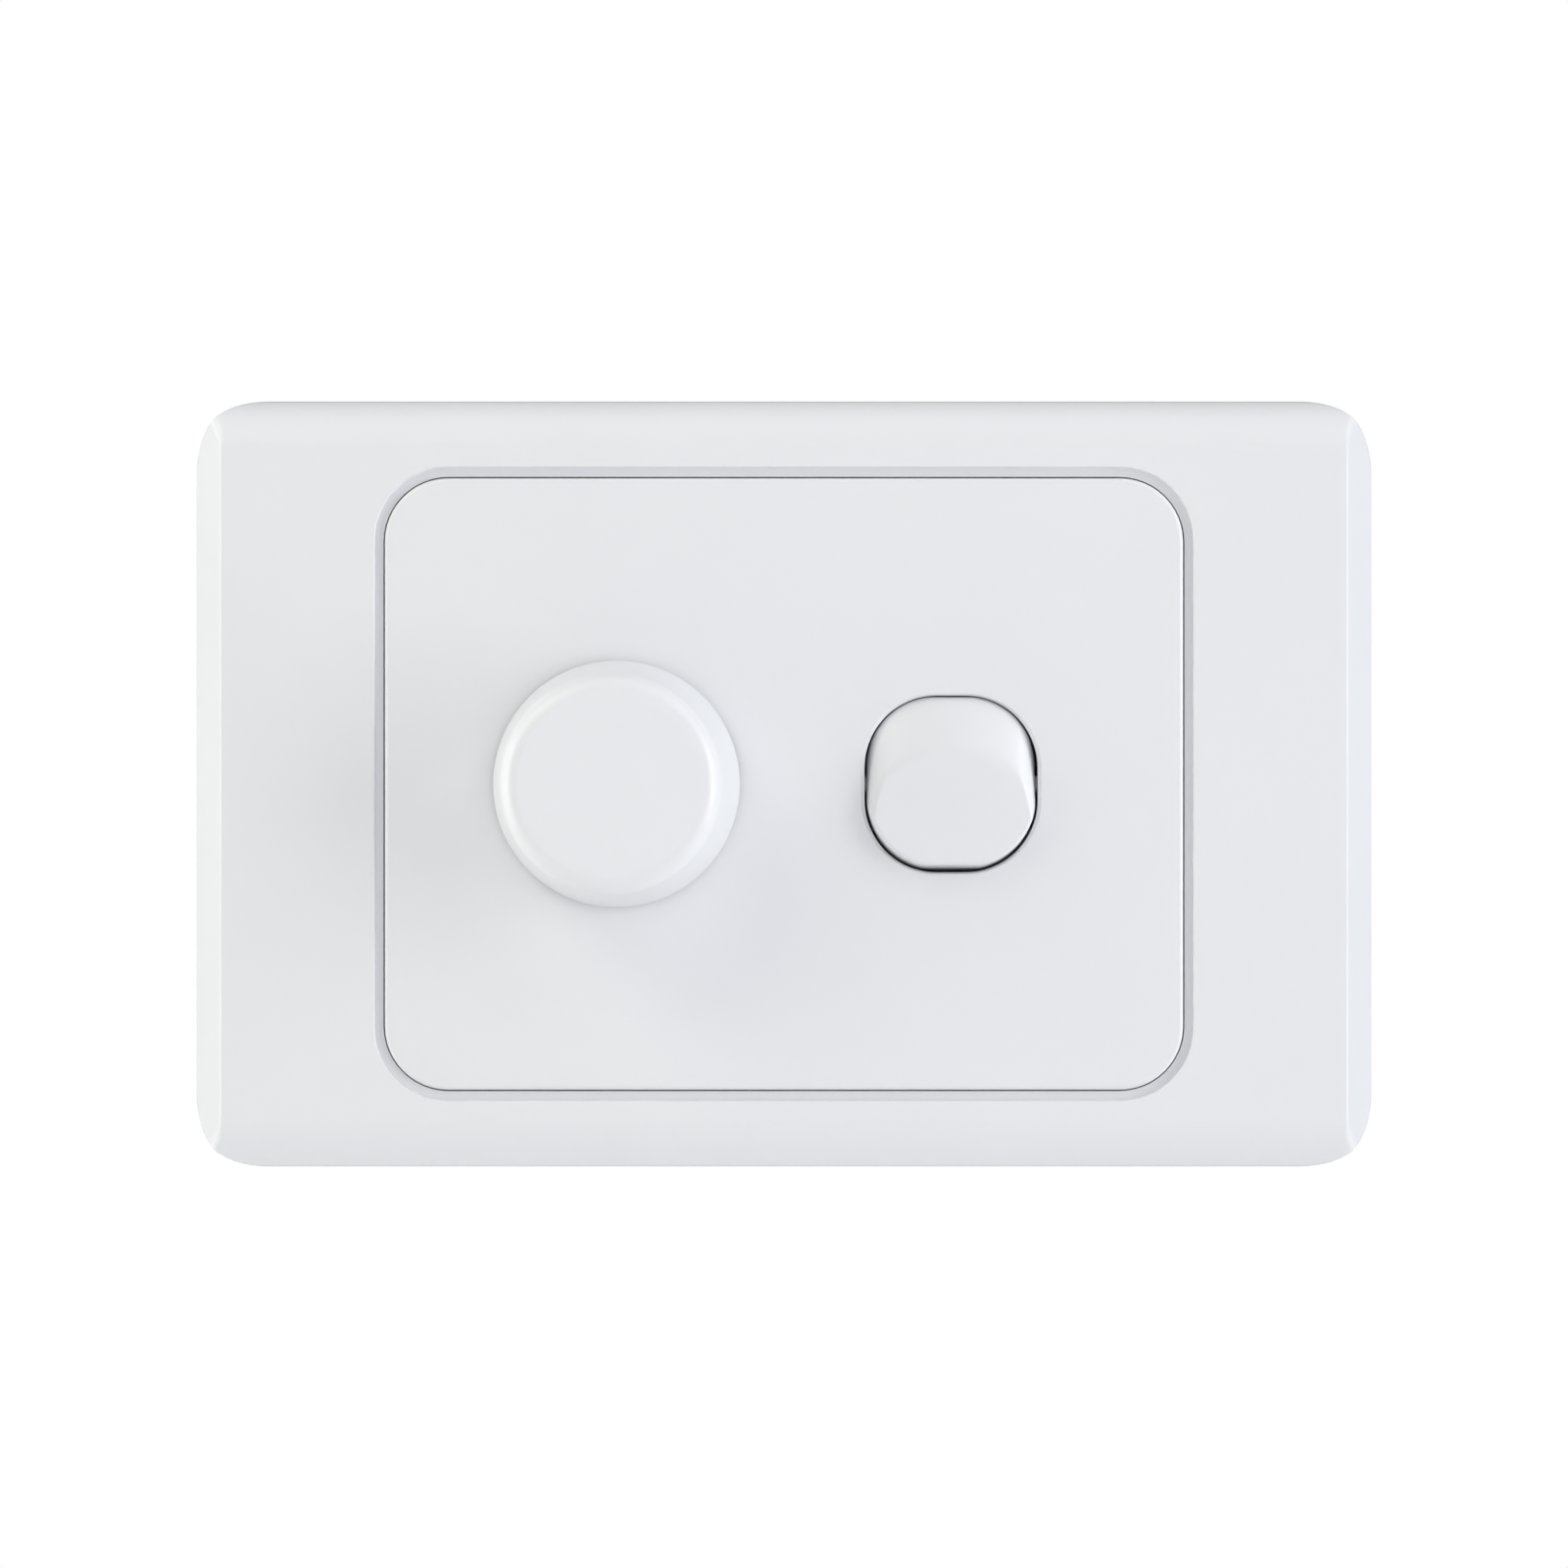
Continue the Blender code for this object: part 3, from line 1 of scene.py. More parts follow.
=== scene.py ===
"""Looks for the wall plate with a rotary dimmer and a rocker switch.

The frame is in metres: +X to the right, +Z up, -Y out of the wall.  Sizes here are in
millimetres and the helpers turn them into metres with MM.  A "depth" is how far a point
stands out of the wall, so it is -Y.
"""

import math

import bmesh
import bpy
from mathutils import Matrix, Vector


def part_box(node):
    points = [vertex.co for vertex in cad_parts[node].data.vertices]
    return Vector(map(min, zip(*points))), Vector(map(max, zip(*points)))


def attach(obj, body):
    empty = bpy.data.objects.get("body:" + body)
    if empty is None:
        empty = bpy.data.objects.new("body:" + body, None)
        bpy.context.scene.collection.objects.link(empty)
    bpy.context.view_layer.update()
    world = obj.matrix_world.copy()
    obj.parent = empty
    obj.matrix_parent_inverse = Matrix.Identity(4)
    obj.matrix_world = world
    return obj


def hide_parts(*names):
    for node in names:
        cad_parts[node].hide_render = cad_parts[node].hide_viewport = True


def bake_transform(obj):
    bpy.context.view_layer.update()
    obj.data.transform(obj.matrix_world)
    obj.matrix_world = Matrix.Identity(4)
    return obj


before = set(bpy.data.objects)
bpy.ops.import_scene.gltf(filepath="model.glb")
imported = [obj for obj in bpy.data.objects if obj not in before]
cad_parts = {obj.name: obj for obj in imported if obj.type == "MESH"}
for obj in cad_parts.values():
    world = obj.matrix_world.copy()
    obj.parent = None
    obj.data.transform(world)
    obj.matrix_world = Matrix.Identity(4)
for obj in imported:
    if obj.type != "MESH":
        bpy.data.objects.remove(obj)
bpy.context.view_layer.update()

MM = 0.001
WELD = 2e-6  # metres


def box_mm(node):
    """A node's lowest and highest corners in millimetres."""
    low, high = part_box(node)
    return Vector(low) / MM, Vector(high) / MM


PLATE_LOW, PLATE_HIGH = box_mm("surround")
GRID_HIGH = box_mm("grid_plate")[1]
ROCKER_LOW, ROCKER_HIGH = box_mm("rocker")
KNOB_LOW, KNOB_HIGH = box_mm("dimmer_knob")
MODULE_X = (ROCKER_LOW.x + ROCKER_HIGH.x) / 2

# --- surround ------------------------------------------------------------------------
PLATE_HALF = (PLATE_HIGH.x, PLATE_HIGH.z)
PLATE_CORNER = 7.0
FACE = -PLATE_LOW.y  # depth of the front faces
SIDE_DEPTH = 4.5
BEVEL_INSET = 3.1
ROLL_INSET = 5.0
FOLD_BLEND = 0.22
ROLL_POWER = 1.6
MITRE_BLEND = 0.9  # the bevels fade softly into the rolls at the corners
MITRE_REACH = 0.4  # share of the roll over which that blend grows
EDGE_ROUND = 0.4
REAR_ROUND = 0.15  # on the rear rims of the surround and the grid plate
LIP_ROUND = 0.14
LEDGE_ROUND = 0.05
RUN_POINTS = (0.15, 0.4, 0.9, 2.0, 4.5)  # extra points beside each corner
FOLD_RINGS = (0.075, 0.05, 0.025, 0.0, -0.025, -0.05, -0.075, -0.16)  # shares beside the fold
RIM_RINGS = (0.01, 0.03, 0.07)  # how far inside the outer edge
ARC_STEPS = 14  # rings on the bevel's run from the rim to the fold
CORNER_STEPS = 28
SHELL = 1.8
CAVITY = ((54.46, 34.0, 3.0), (56.7, 36.3, 5.2))  # the hollow's outlines, front and side
CAVITY_DEPTH = 3.9
LIP = (40.25, 31.15, 7.1)  # half width, half height and corner radius
LEDGE = 8.35
OPENING = (39.44, 30.24, 6.4)
POST_AT = (30.0, 33.5)
POST_PLAN = (3.0, 0.6, 0.2)  # half width, half thickness and corner radius
POST_LEVELS = ((5.6, 0.06), (2.9, 0.1), (2.2, 0.0), (1.6, 0.05), (0.8, 0.25))  # depth and inset
POST_SLOT = (3.3, 0.9)  # half size of the post's slot in the grid plate
PRY_NOTCH = (5.0, 1.2)  # half width and depth

# --- grid plate ----------------------------------------------------------------------
PANEL = (39.3, 30.1, 6.25)
PANEL_ROUND = 0.5
PANEL_FOOT_ROUND = 0.25
SKIN_BACK = 7.5
HOLLOW = (37.44, 28.24, 4.4)
FLANGE = (GRID_HIGH.x, GRID_HIGH.z, 5.0)
FLANGE_THICK = 2.0
FLANGE_ROUND = 0.3
APERTURE = (8.84, 8.84, 7.3)  # at the panel's face
APERTURE_ROUND = 0.05
APERTURE_THROAT = (8.53, 8.7, 7.1)  # behind the bevelled edge
APERTURE_BEVEL = 0.25  # the bevel's depth
FIXING_X = 42.0
FIXING_HOLE = 2.1
HEAD_NOTCH = 3.1
HOOK_ARM = (11.9, 13.1)
HOOK_HALF = 3.0
HOOK_FOOT = (6.9, 0.4)  # depth where the foot starts, and its flare
HOOK_NIB = (10.8, 3.6, 4.9)  # reach, then its depths
NIB_LEAD = (0.2, 0.5)  # width and depth of the nib's lead-in
RIB_X = (0.75, 1.95)
RIB_BACK = 1.0

# --- rocker --------------------------------------------------------------------------
ROCKER_HALF = (8.3, 8.62)
ROCKER_CORNER = 6.9
ROCKER_TOP = 8.575
ROCKER_FRONT = -ROCKER_LOW.y
ROCKER_BACK = 4.8
PIVOT = 6.3
TRAVEL = math.radians(9.0)
CREST_Z = 3.2
UPPER_TILT = math.radians(20.0)
UPPER_RADIUS = 30.0
CURL = (0.6, 7.43, 12)  # the upper face curls down at its sides: drop, reach and power
CREST_BLEND = 0.25
ROCKER_ROUND = 0.35
ROCKER_HOLLOW = (6.9, 5.5, 7.6)  # half size, corner radius and ceiling depth
ROCKER_WALLS = (ROCKER_BACK, ROCKER_BACK + 0.3, 6.4, 7.4)  # depths of the side walls' rings
ROCKER_SIDES = 160
ROCKER_RINGS = 30
POST_AXIS = Vector((0, math.cos(TRAVEL / 2), -math.sin(TRAVEL / 2)))  # points into the wall
POST_BASE = Vector((MODULE_X, -PIVOT, 0))
POST = (2.7, 1.6, -1.6, 5.6)  # outer and inner radius, then its ends along the axis
SPRING = (1.1, 0.16, -0.1, 3.04, 5)  # coil and wire radius, ends along the axis, turns
PIN = (0.8, 2.9, 6.7)  # radius, length and distance from the middle

# --- knob ----------------------------------------------------------------------------
KNOB_BACK = -KNOB_HIGH.y
KNOB_HEIGHT = KNOB_HIGH.y - KNOB_LOW.y
KNOB_BASE = (KNOB_HIGH.x - KNOB_LOW.x) / 2
KNOB_SHOULDER = 10.6
KNOB_TOP = 8.67
KNOB_FILLET = 2.0
KNOB_WALL = 1.5
KNOB_HUB = 4.6
HUB_START = 4.0  # above the knob's back
BORE_CHAMFER = 0.25
SHAFT_BORE = (3.3, 1.8)  # radius and the flat's distance
KNOB_FOOT = 0.12
KNOB_SEGMENTS = 144
WEB = (9.4, 0.45, 6.5)  # reach, half thickness and start above the knob's back
WEB_COUNT = 6


# --- mesh helpers --------------------------------------------------------------------
def metre_mesh(name, shape):
    """Turn a bmesh in millimetres into a mesh in metres."""
    bmesh.ops.scale(shape, vec=(MM, MM, MM), verts=shape.verts)
    mesh = bpy.data.meshes.new(name)
    shape.to_mesh(mesh)
    shape.free()
    return mesh


def add_object(name, data):
    """Put a mesh, a camera or a light in the scene."""
    item = bpy.data.objects.new(name, data)
    bpy.context.scene.collection.objects.link(item)
    return item


def new_piece(name, shape, slot, body="frame", sharp=40):
    """Turn a bmesh into a finished piece; no body leaves it free to blend."""
    bmesh.ops.remove_doubles(shape, verts=shape.verts, dist=WELD / MM)
    bmesh.ops.dissolve_degenerate(shape, edges=shape.edges, dist=WELD / MM)
    bmesh.ops.recalc_face_normals(shape, faces=shape.faces)
    mesh = metre_mesh(name, shape)
    mesh.shade_smooth()
    mesh.set_sharp_from_angle(angle=math.radians(sharp))
    mesh.materials.append(MATERIALS[slot])
    piece = add_object(name, mesh)
    if body:
        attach(piece, body)
    return piece


def weigh_normals(piece):
    """Flat faces keep their flat shade where small fillets meet them."""
    modifier = piece.modifiers.new("weighted", "WEIGHTED_NORMAL")
    modifier.keep_sharp = True
    modifier.weight = 100


def soften(piece, width, segments=2):
    """Round the edges by a width in millimetres."""
    modifier = piece.modifiers.new("soften", "BEVEL")
    modifier.width = width * MM
    modifier.segments = segments
    modifier.limit_method = "ANGLE"
    modifier.angle_limit = math.radians(30)
    weigh_normals(piece)


def carve(piece, cutters):
    """Cut the cutters, bmeshes in millimetres, out of a piece for good."""
    shape = bmesh.new()
    for cutter in cutters:
        part = bpy.data.meshes.new("cutter")
        cutter.to_mesh(part)
        cutter.free()
        shape.from_mesh(part)
        bpy.data.meshes.remove(part)
    bmesh.ops.recalc_face_normals(shape, faces=shape.faces)
    tool = add_object("cutter", metre_mesh("cutter", shape))
    modifier = piece.modifiers.new("carve", "BOOLEAN")
    modifier.object = tool
    modifier.solver = "EXACT"
    modifier.operation = "DIFFERENCE"
    bpy.context.view_layer.update()
    carved = piece.evaluated_get(bpy.context.evaluated_depsgraph_get())
    result = bpy.data.meshes.new_from_object(carved)
    piece.modifiers.clear()
    piece.data = result
    cut_mesh = tool.data
    bpy.data.objects.remove(tool, do_unlink=True)
    bpy.data.meshes.remove(cut_mesh)


def outline(half_x, half_z, radius, steps=12, run_points=()):
    """A rounded rectangle as (x, z) pairs, counter-clockwise seen from the room.

    run_points are extra points on the straight runs, as distances from the corners.
    """
    corners = []
    for quarter, (side_x, side_z) in enumerate(((1, 1), (-1, 1), (-1, -1), (1, -1))):
        corner = []
        for step in range(steps + 1):
            angle = math.pi / 2 * (quarter + step / steps)
            x = side_x * (half_x - radius) + radius * math.cos(angle)
            z = side_z * (half_z - radius) + radius * math.sin(angle)
            corner.append(Vector((x, z)))
        corners.append(corner)
    points = []
    for corner, following in zip(corners, corners[1:] + corners[:1]):
        start, end = corner[-1], following[0]
        along = (end - start).normalized()
        points += corner
        points += [start + along * distance for distance in run_points]
        points += [end - along * distance for distance in reversed(run_points)]
    return [tuple(point) for point in points]


def circle(radius, segments):
    """Points on a circle, as pairs."""
    angles = [math.tau * step / segments for step in range(segments)]
    return [(radius * math.cos(angle), radius * math.sin(angle)) for angle in angles]


def add_loop(shape, points):
    return [shape.verts.new(point) for point in points]


def at_depth(points, depth, centre_x=0.0):
    """Stand a flat outline at a depth."""
    return [(centre_x + x, -depth, z) for x, z in points]


def bridge(shape, first, second):
    """Quads between two loops of the same length."""
    count = len(first)
    for index in range(count):
        after = (index + 1) % count
        shape.faces.new((first[index], first[after], second[after], second[index]))


def loft(shape, loops):
    """Skin a run of loops and return the first and the last."""
    rows = [add_loop(shape, points) for points in loops]
    for first, second in zip(rows, rows[1:]):
        bridge(shape, first, second)
    return rows[0], rows[-1]


def fill(shape, *loops):
    """Fill the flat area between an outer loop and any holes."""
    edges = []
    for loop in loops:
        apart = [v for index, v in enumerate(loop) if (v.co - loop[index - 1].co).length > WELD / MM]
        for index, vertex in enumerate(apart):
            other = apart[(index + 1) % len(apart)]
            edges.append(shape.edges.get((vertex, other)) or shape.edges.new((vertex, other)))
    bmesh.ops.triangle_fill(shape, edges=edges, use_beauty=True, use_dissolve=False)


def fillet_steps(size, steps=4):
    """Pairs (across, along) on a quarter round, from the face to the side."""
    pairs = []
    for step in range(steps + 1):
        angle = math.pi / 2 * step / steps
        pairs.append((size * (1 - math.sin(angle)), size * (1 - math.cos(angle))))
    return pairs


def inset_loop(form, inset, depth, centre_x=0.0, steps=12, run_points=()):
    """A rounded rectangle (half width, half height, radius) at a depth, made smaller by inset."""
    half_x, half_z, radius = form
    points = outline(half_x - inset, half_z - inset, max(radius - inset, 0.01), steps, run_points)
    return at_depth(points, depth, centre_x)


def box_shape(x, y, z):
    """A box between pairs of limits."""
    shape = bmesh.new()
    size = [high - low for low, high in (x, y, z)]
    centre = [(high + low) / 2 for low, high in (x, y, z)]
    matrix = Matrix.Translation(centre) @ Matrix.Diagonal((*size, 1.0))
    bmesh.ops.create_cube(shape, size=1.0, matrix=matrix)
    return shape


def stand(base, direction):
    """Matrix that stands a shape's own Z axis on base, along direction."""
    turn = Vector(direction).to_track_quat("Z", "Y").to_matrix().to_4x4()
    return Matrix.Translation(base) @ turn


def rod_shape(radius, start, end, segments):
    """A capped rod between two points."""
    shape = bmesh.new()
    start, end = Vector(start), Vector(end)
    bmesh.ops.create_cone(
        shape,
        cap_ends=True,
        segments=segments,
        radius1=radius,
        radius2=radius,
        depth=(end - start).length,
        matrix=stand((start + end) / 2, end - start),
    )
    return shape


def lathe(profile, base, direction, segments=48, closed=False):
    """Turn (radius, height) pairs about a line that starts at base."""
    shape = bmesh.new()
    place = stand(base, direction)
    rows = []
    for radius, height in profile:
        ring = circle(radius, segments) if radius > 0 else [(0, 0)]
        rows.append(add_loop(shape, [place @ Vector((x, y, height)) for x, y in ring]))
    if closed:
        rows.append(rows[0])
    for first, second in zip(rows, rows[1:]):
        if len(first) == 1 or len(second) == 1:
            tip, ring = (first, second) if len(first) == 1 else (second, first)
            for index in range(segments):
                shape.faces.new((tip[0], ring[index], ring[(index + 1) % segments]))
        else:
            bridge(shape, first, second)
    return shape


def rounded(profile, radius, steps=3):
    """Round a (radius, height) profile's corners, by less than half of the runs beside them."""
    points = [profile[0]]
    for before, corner, after in zip(profile, profile[1:], profile[2:]):
        corner, before, after = Vector(corner), Vector(before), Vector(after)
        toward, onward = before - corner, after - corner
        reach = min(radius, toward.length * 0.45, onward.length * 0.45)
        first = corner + toward.normalized() * reach
        last = corner + onward.normalized() * reach
        for step in range(steps + 1):
            t = step / steps
            point = first * (1 - t) ** 2 + corner * 2 * t * (1 - t) + last * t**2
            points.append(tuple(point))
    points.append(profile[-1])
    return points


def wind(section_at, steps, turn_steps, start, end, place):
    """Carry a section of (reach, up) pairs up a helix and cap both ends."""
    loops = []
    for step in range(steps + 1):
        angle = math.tau * step / turn_steps
        height = start + (end - start) * step / steps
        spots = [
            Vector((reach * math.cos(angle), reach * math.sin(angle), height + up))
            for reach, up in section_at(step)
        ]
        loops.append([place @ spot for spot in spots])
    shape = bmesh.new()
    for end_loop in loft(shape, loops):
        shape.faces.new(end_loop)
    return shape


# --- materials -----------------------------------------------------------------------
RAMP = (0.35, 0.65)  # where the noise starts and ends its change of tone
FINE_RELIEF = 0.00002  # metres


def start_material(name, roughness, metallic=0.0):
    """A material with what the other helpers need to add nodes to it."""
    material = bpy.data.materials.new(name)
    material.use_nodes = True
    nodes = material.node_tree.nodes
    shader = nodes["Principled BSDF"]
    shader.inputs["Roughness"].default_value = roughness
    shader.inputs["Metallic"].default_value = metallic
    place = nodes.new("ShaderNodeTexCoord")
    return material, nodes, material.node_tree.links, shader, place.outputs["Object"]


def noise(nodes, links, place, scale, detail=3.0):
    texture = nodes.new("ShaderNodeTexNoise")
    texture.inputs["Scale"].default_value = scale
    texture.inputs["Detail"].default_value = detail
    links.new(place, texture.inputs["Vector"])
    return texture.outputs["Fac"]


def stretched(nodes, links, place, scale):
    """Coordinates scaled along the axes, for marks that have a direction."""
    mapping = nodes.new("ShaderNodeMapping")
    mapping.inputs["Scale"].default_value = scale
    links.new(place, mapping.inputs["Vector"])
    return mapping.outputs["Vector"]


def vary_colour(nodes, links, shader, factor, low, high):
    """Blend the base colour between two close tones."""
    ramp = nodes.new("ShaderNodeValToRGB")
    for element, position, tone in zip(ramp.color_ramp.elements, RAMP, (low, high)):
        element.position = position
        element.color = (*tone, 1)
    links.new(factor, ramp.inputs["Fac"])
    links.new(ramp.outputs["Color"], shader.inputs["Base Color"])


def vary_roughness(nodes, links, shader, factor, low, high):
    spread = nodes.new("ShaderNodeMapRange")
    spread.inputs["To Min"].default_value = low
    spread.inputs["To Max"].default_value = high
    links.new(factor, spread.inputs["Value"])
    links.new(spread.outputs["Result"], shader.inputs["Roughness"])


def bump(nodes, links, shader, height, strength, distance=FINE_RELIEF):
    node = nodes.new("ShaderNodeBump")
    node.inputs["Strength"].default_value = strength
    node.inputs["Distance"].default_value = distance
    links.new(height, node.inputs["Height"])
    links.new(node.outputs["Normal"], shader.inputs["Normal"])


def moulded_plastic(name, colour, roughness, spread=0.012, grain=12000.0, relief=0.015, tone=0.012):
    """Injection-moulded plastic: even colour, fine spark texture and faint flow marks."""
    material, nodes, links, shader, place = start_material(name, roughness)
    shader.inputs["IOR"].default_value = 1.49
    flow = noise(nodes, links, place, 60.0, 2.0)
    low = [max(value - tone, 0) for value in colour]
    high = [value + tone for value in colour]
    vary_colour(nodes, links, shader, flow, low, high)
    cloud = noise(nodes, links, place, 700.0)
    vary_roughness(nodes, links, shader, cloud, roughness - spread, roughness + spread)
    bump(nodes, links, shader, noise(nodes, links, place, grain, 2.0), relief)
    return material


def worked_metal(name, colour, roughness, stretch=(1.0, 1.0, 1.0), tone=0.05, relief=0.12):
    """Metal with fine tool marks along one axis and slight tarnish."""
    material, nodes, links, shader, place = start_material(name, roughness, 1.0)
    tarnish = noise(nodes, links, place, 350.0, 4.0)
    low = [max(value - tone, 0) for value in colour]
    vary_colour(nodes, links, shader, tarnish, low, colour)
    marks = noise(nodes, links, stretched(nodes, links, place, stretch), 2500.0, 4.0)
    vary_roughness(nodes, links, shader, marks, roughness - 0.08, roughness + 0.12)
    bump(nodes, links, shader, marks, relief)
    return material


def phenolic():
    """Paper-based laminate with visible fibres."""
    material, nodes, links, shader, place = start_material("phenolic_paper", 0.55)
    fibre = noise(nodes, links, stretched(nodes, links, place, (1.0, 1.0, 0.15)), 1800.0, 6.0)
    vary_colour(nodes, links, shader, fibre, (0.22, 0.11, 0.04), (0.36, 0.20, 0.08))
    bump(nodes, links, shader, fibre, 0.3, 0.00003)
    return material


def solder_mask():
    """Green board with the woven glass showing faintly through the mask."""
    material, nodes, links, shader, place = start_material("solder_mask", 0.35)
    weave = nodes.new("ShaderNodeTexBrick")
    weave.inputs["Scale"].default_value = 1500.0
    weave.inputs["Mortar Size"].default_value = 0.08
    weave.inputs["Color1"].default_value = (0.035, 0.19, 0.075, 1)
    weave.inputs["Color2"].default_value = (0.045, 0.22, 0.09, 1)
    weave.inputs["Mortar"].default_value = (0.03, 0.16, 0.065, 1)
    links.new(place, weave.inputs["Vector"])
    links.new(weave.outputs["Color"], shader.inputs["Base Color"])
    bump(nodes, links, shader, weave.outputs["Fac"], 0.1)
    shader.inputs["Coat Weight"].default_value = 0.3
    return material


def ferrite():
    """Sintered grey-black ceramic with open grain."""
    material, nodes, links, shader, place = start_material("ferrite_ceramic", 0.7)
    grain = noise(nodes, links, place, 4000.0, 6.0)
    vary_colour(nodes, links, shader, grain, (0.05, 0.05, 0.055), (0.13, 0.13, 0.14))
    bump(nodes, links, shader, grain, 0.5, 0.00005)
    return material


def glass_bead():
    """Amber glass with darker ends showing through."""
    material, nodes, links, shader, place = start_material("amber_glass", 0.06)
    swirl = noise(nodes, links, place, 500.0, 2.0)
    vary_colour(nodes, links, shader, swirl, (0.62, 0.22, 0.07), (0.80, 0.40, 0.18))
    shader.inputs["Coat Weight"].default_value = 0.6
    return material


WHITE = (0.767, 0.772, 0.793)
# The white pieces' roughness stays above 0.28: a range across 0.27 leaves flakes in the picture.
MATERIALS = {
    "plate_white": moulded_plastic("plate_plastic", WHITE, 0.31, tone=0.004),
    "knob_white": moulded_plastic("knob_plastic", WHITE, 0.30, tone=0.004),
    "rocker_white": moulded_plastic("rocker_plastic", WHITE, 0.30, tone=0.004),
    "mechanism_white": moulded_plastic(
        "module_plastic", (0.70, 0.70, 0.67), 0.45, spread=0.04, grain=6000.0, relief=0.08
    ),
    "mechanism_grey": moulded_plastic(
        "housing_plastic", (0.19, 0.20, 0.215), 0.5, spread=0.05, grain=5000.0, relief=0.2
    ),
    "spring_steel": worked_metal("spring_wire", (0.60, 0.60, 0.62), 0.28),
    "zinc_plated_steel": worked_metal("zinc_plate", (0.66, 0.67, 0.66), 0.32),
    "brass": worked_metal("pressed_brass", (0.72, 0.52, 0.22), 0.3, (1.0, 1.0, 0.1)),
    "silvered_metal": worked_metal("tinned_metal", (0.80, 0.80, 0.78), 0.26),
    "aluminium": worked_metal("bare_aluminium", (0.74, 0.75, 0.77), 0.34, (1.0, 0.05, 1.0)),
    "phenolic_brown": phenolic(),
    "board_green": solder_mask(),
    "ferrite": ferrite(),
    "copper_enamel": worked_metal("enamelled_copper", (0.60, 0.22, 0.09), 0.22, relief=0.03),
    "capacitor_red": moulded_plastic("red_epoxy", (0.36, 0.05, 0.03), 0.22, relief=0.3),
    "black_epoxy": moulded_plastic("black_epoxy_moulding", (0.02, 0.02, 0.022), 0.4, tone=0.004),
    "glass_bead": glass_bead(),
}


# --- surround ------------------------------------------------------------------------
def soft_min(first, second, blend):
    """The lower of two values, rounded over where they cross."""
    overlap = max(blend - abs(first - second), 0.0) / blend
    return min(first, second) - overlap**2 * blend / 4


def edge_round(inset):
    """Depth of the small round between the side wall and the bevels, or none past it."""
    slope = (FACE - SIDE_DEPTH) / BEVEL_INSET
    steep = math.hypot(slope, 1.0)
    centre = SIDE_DEPTH - EDGE_ROUND * (steep - slope)
    if inset >= EDGE_ROUND * (1 - slope / steep):
        return FACE
    return centre + math.sqrt(EDGE_ROUND**2 - (EDGE_ROUND - inset) ** 2)


def plate_depth(x, z):
    """Front surface of the surround: flat bevels left and right, rolls above and below."""
    bevel = SIDE_DEPTH + (PLATE_HALF[0] - abs(x)) * (FACE - SIDE_DEPTH) / BEVEL_INSET
    beyond = (abs(z) - (PLATE_HALF[1] - ROLL_INSET)) / ROLL_INSET
    beyond = min(max(beyond, 0.0), 1.0)
    roll = SIDE_DEPTH + (FACE - SIDE_DEPTH) * (1 - beyond**ROLL_POWER) ** (1 / ROLL_POWER)
    ease = min(beyond / MITRE_REACH, 1.0)
    blend = FOLD_BLEND + (MITRE_BLEND - FOLD_BLEND) * ease * ease * (3 - 2 * ease)
    return soft_min(bevel, roll, blend)


def plate_rings():
    """How far each ring lies from the fold (0) to the outer edge (1)."""
    rings = [1.0] + [1 - inset / BEVEL_INSET for inset in RIM_RINGS]
    rings += [math.cos(math.pi / 2 * step / ARC_STEPS) for step in range(2, ARC_STEPS)]
    return [ring for ring in rings if ring > FOLD_RINGS[0]] + list(FOLD_RINGS)


def build_surround():
    """The cover: rolled and bevelled front, lip and ledge round the opening, hollow back."""
    shape = bmesh.new()
    front = []
    for ring in plate_rings():
        inset = BEVEL_INSET * (1 - ring)
        half_x = PLATE_HALF[0] - inset
        half_z = PLATE_HALF[1] - ROLL_INSET * (1 - ring)
        points = outline(half_x, half_z, PLATE_CORNER * max(ring, 0.0), CORNER_STEPS, RUN_POINTS)
        limit = edge_round(inset)
        front.append([(x, -min(plate_depth(x, z), limit), z) for x, z in points])
    rim = [
        inset_loop((*PLATE_HALF, PLATE_CORNER), across, along, 0, CORNER_STEPS, RUN_POINTS)
        for across, along in fillet_steps(REAR_ROUND, 2)
    ]
    side, face = loft(shape, rim + front)
    lip = [inset_loop(LIP, -across, FACE - along) for across, along in fillet_steps(LIP_ROUND)]
    lip.append(inset_loop(LIP, 0, LEDGE + LEDGE_ROUND))
    lip.append(inset_loop(LIP, LEDGE_ROUND, LEDGE))
    steps = fillet_steps(LEDGE_ROUND, 3)
    lip += [inset_loop(OPENING, -across, LEDGE - along) for across, along in steps]
    lip.append(inset_loop(OPENING, 0, FACE - SHELL))
    lip_top, underside = loft(shape, lip)
    fill(shape, face, lip_top)
    cavity_front, cavity_side = CAVITY
    inner = [
        inset_loop(cavity_front, 0, FACE - SHELL),
        inset_loop(cavity_side, 0, CAVITY_DEPTH),
        inset_loop(cavity_side, 0, 0),
    ]
    ceiling, inner_rim = loft(shape, inner)
    fill(shape, underside, ceiling)
    fill(shape, side, inner_rim)
    skin = new_piece("surround_cover_skin", shape, "plate_white", "surround_cover", sharp=50)
    half, depth = PRY_NOTCH
    low = -PLATE_HALF[1]
    notch = box_shape((-half, half), (-depth, 1.0), (low - 1, low + SHELL + 0.6))
    carve(skin, [notch])
    weigh_normals(skin)
    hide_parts("surround")
    for side_x in (-1, 1):
        for side_z in (-1, 1):
            build_snap_post(side_x, side_z)


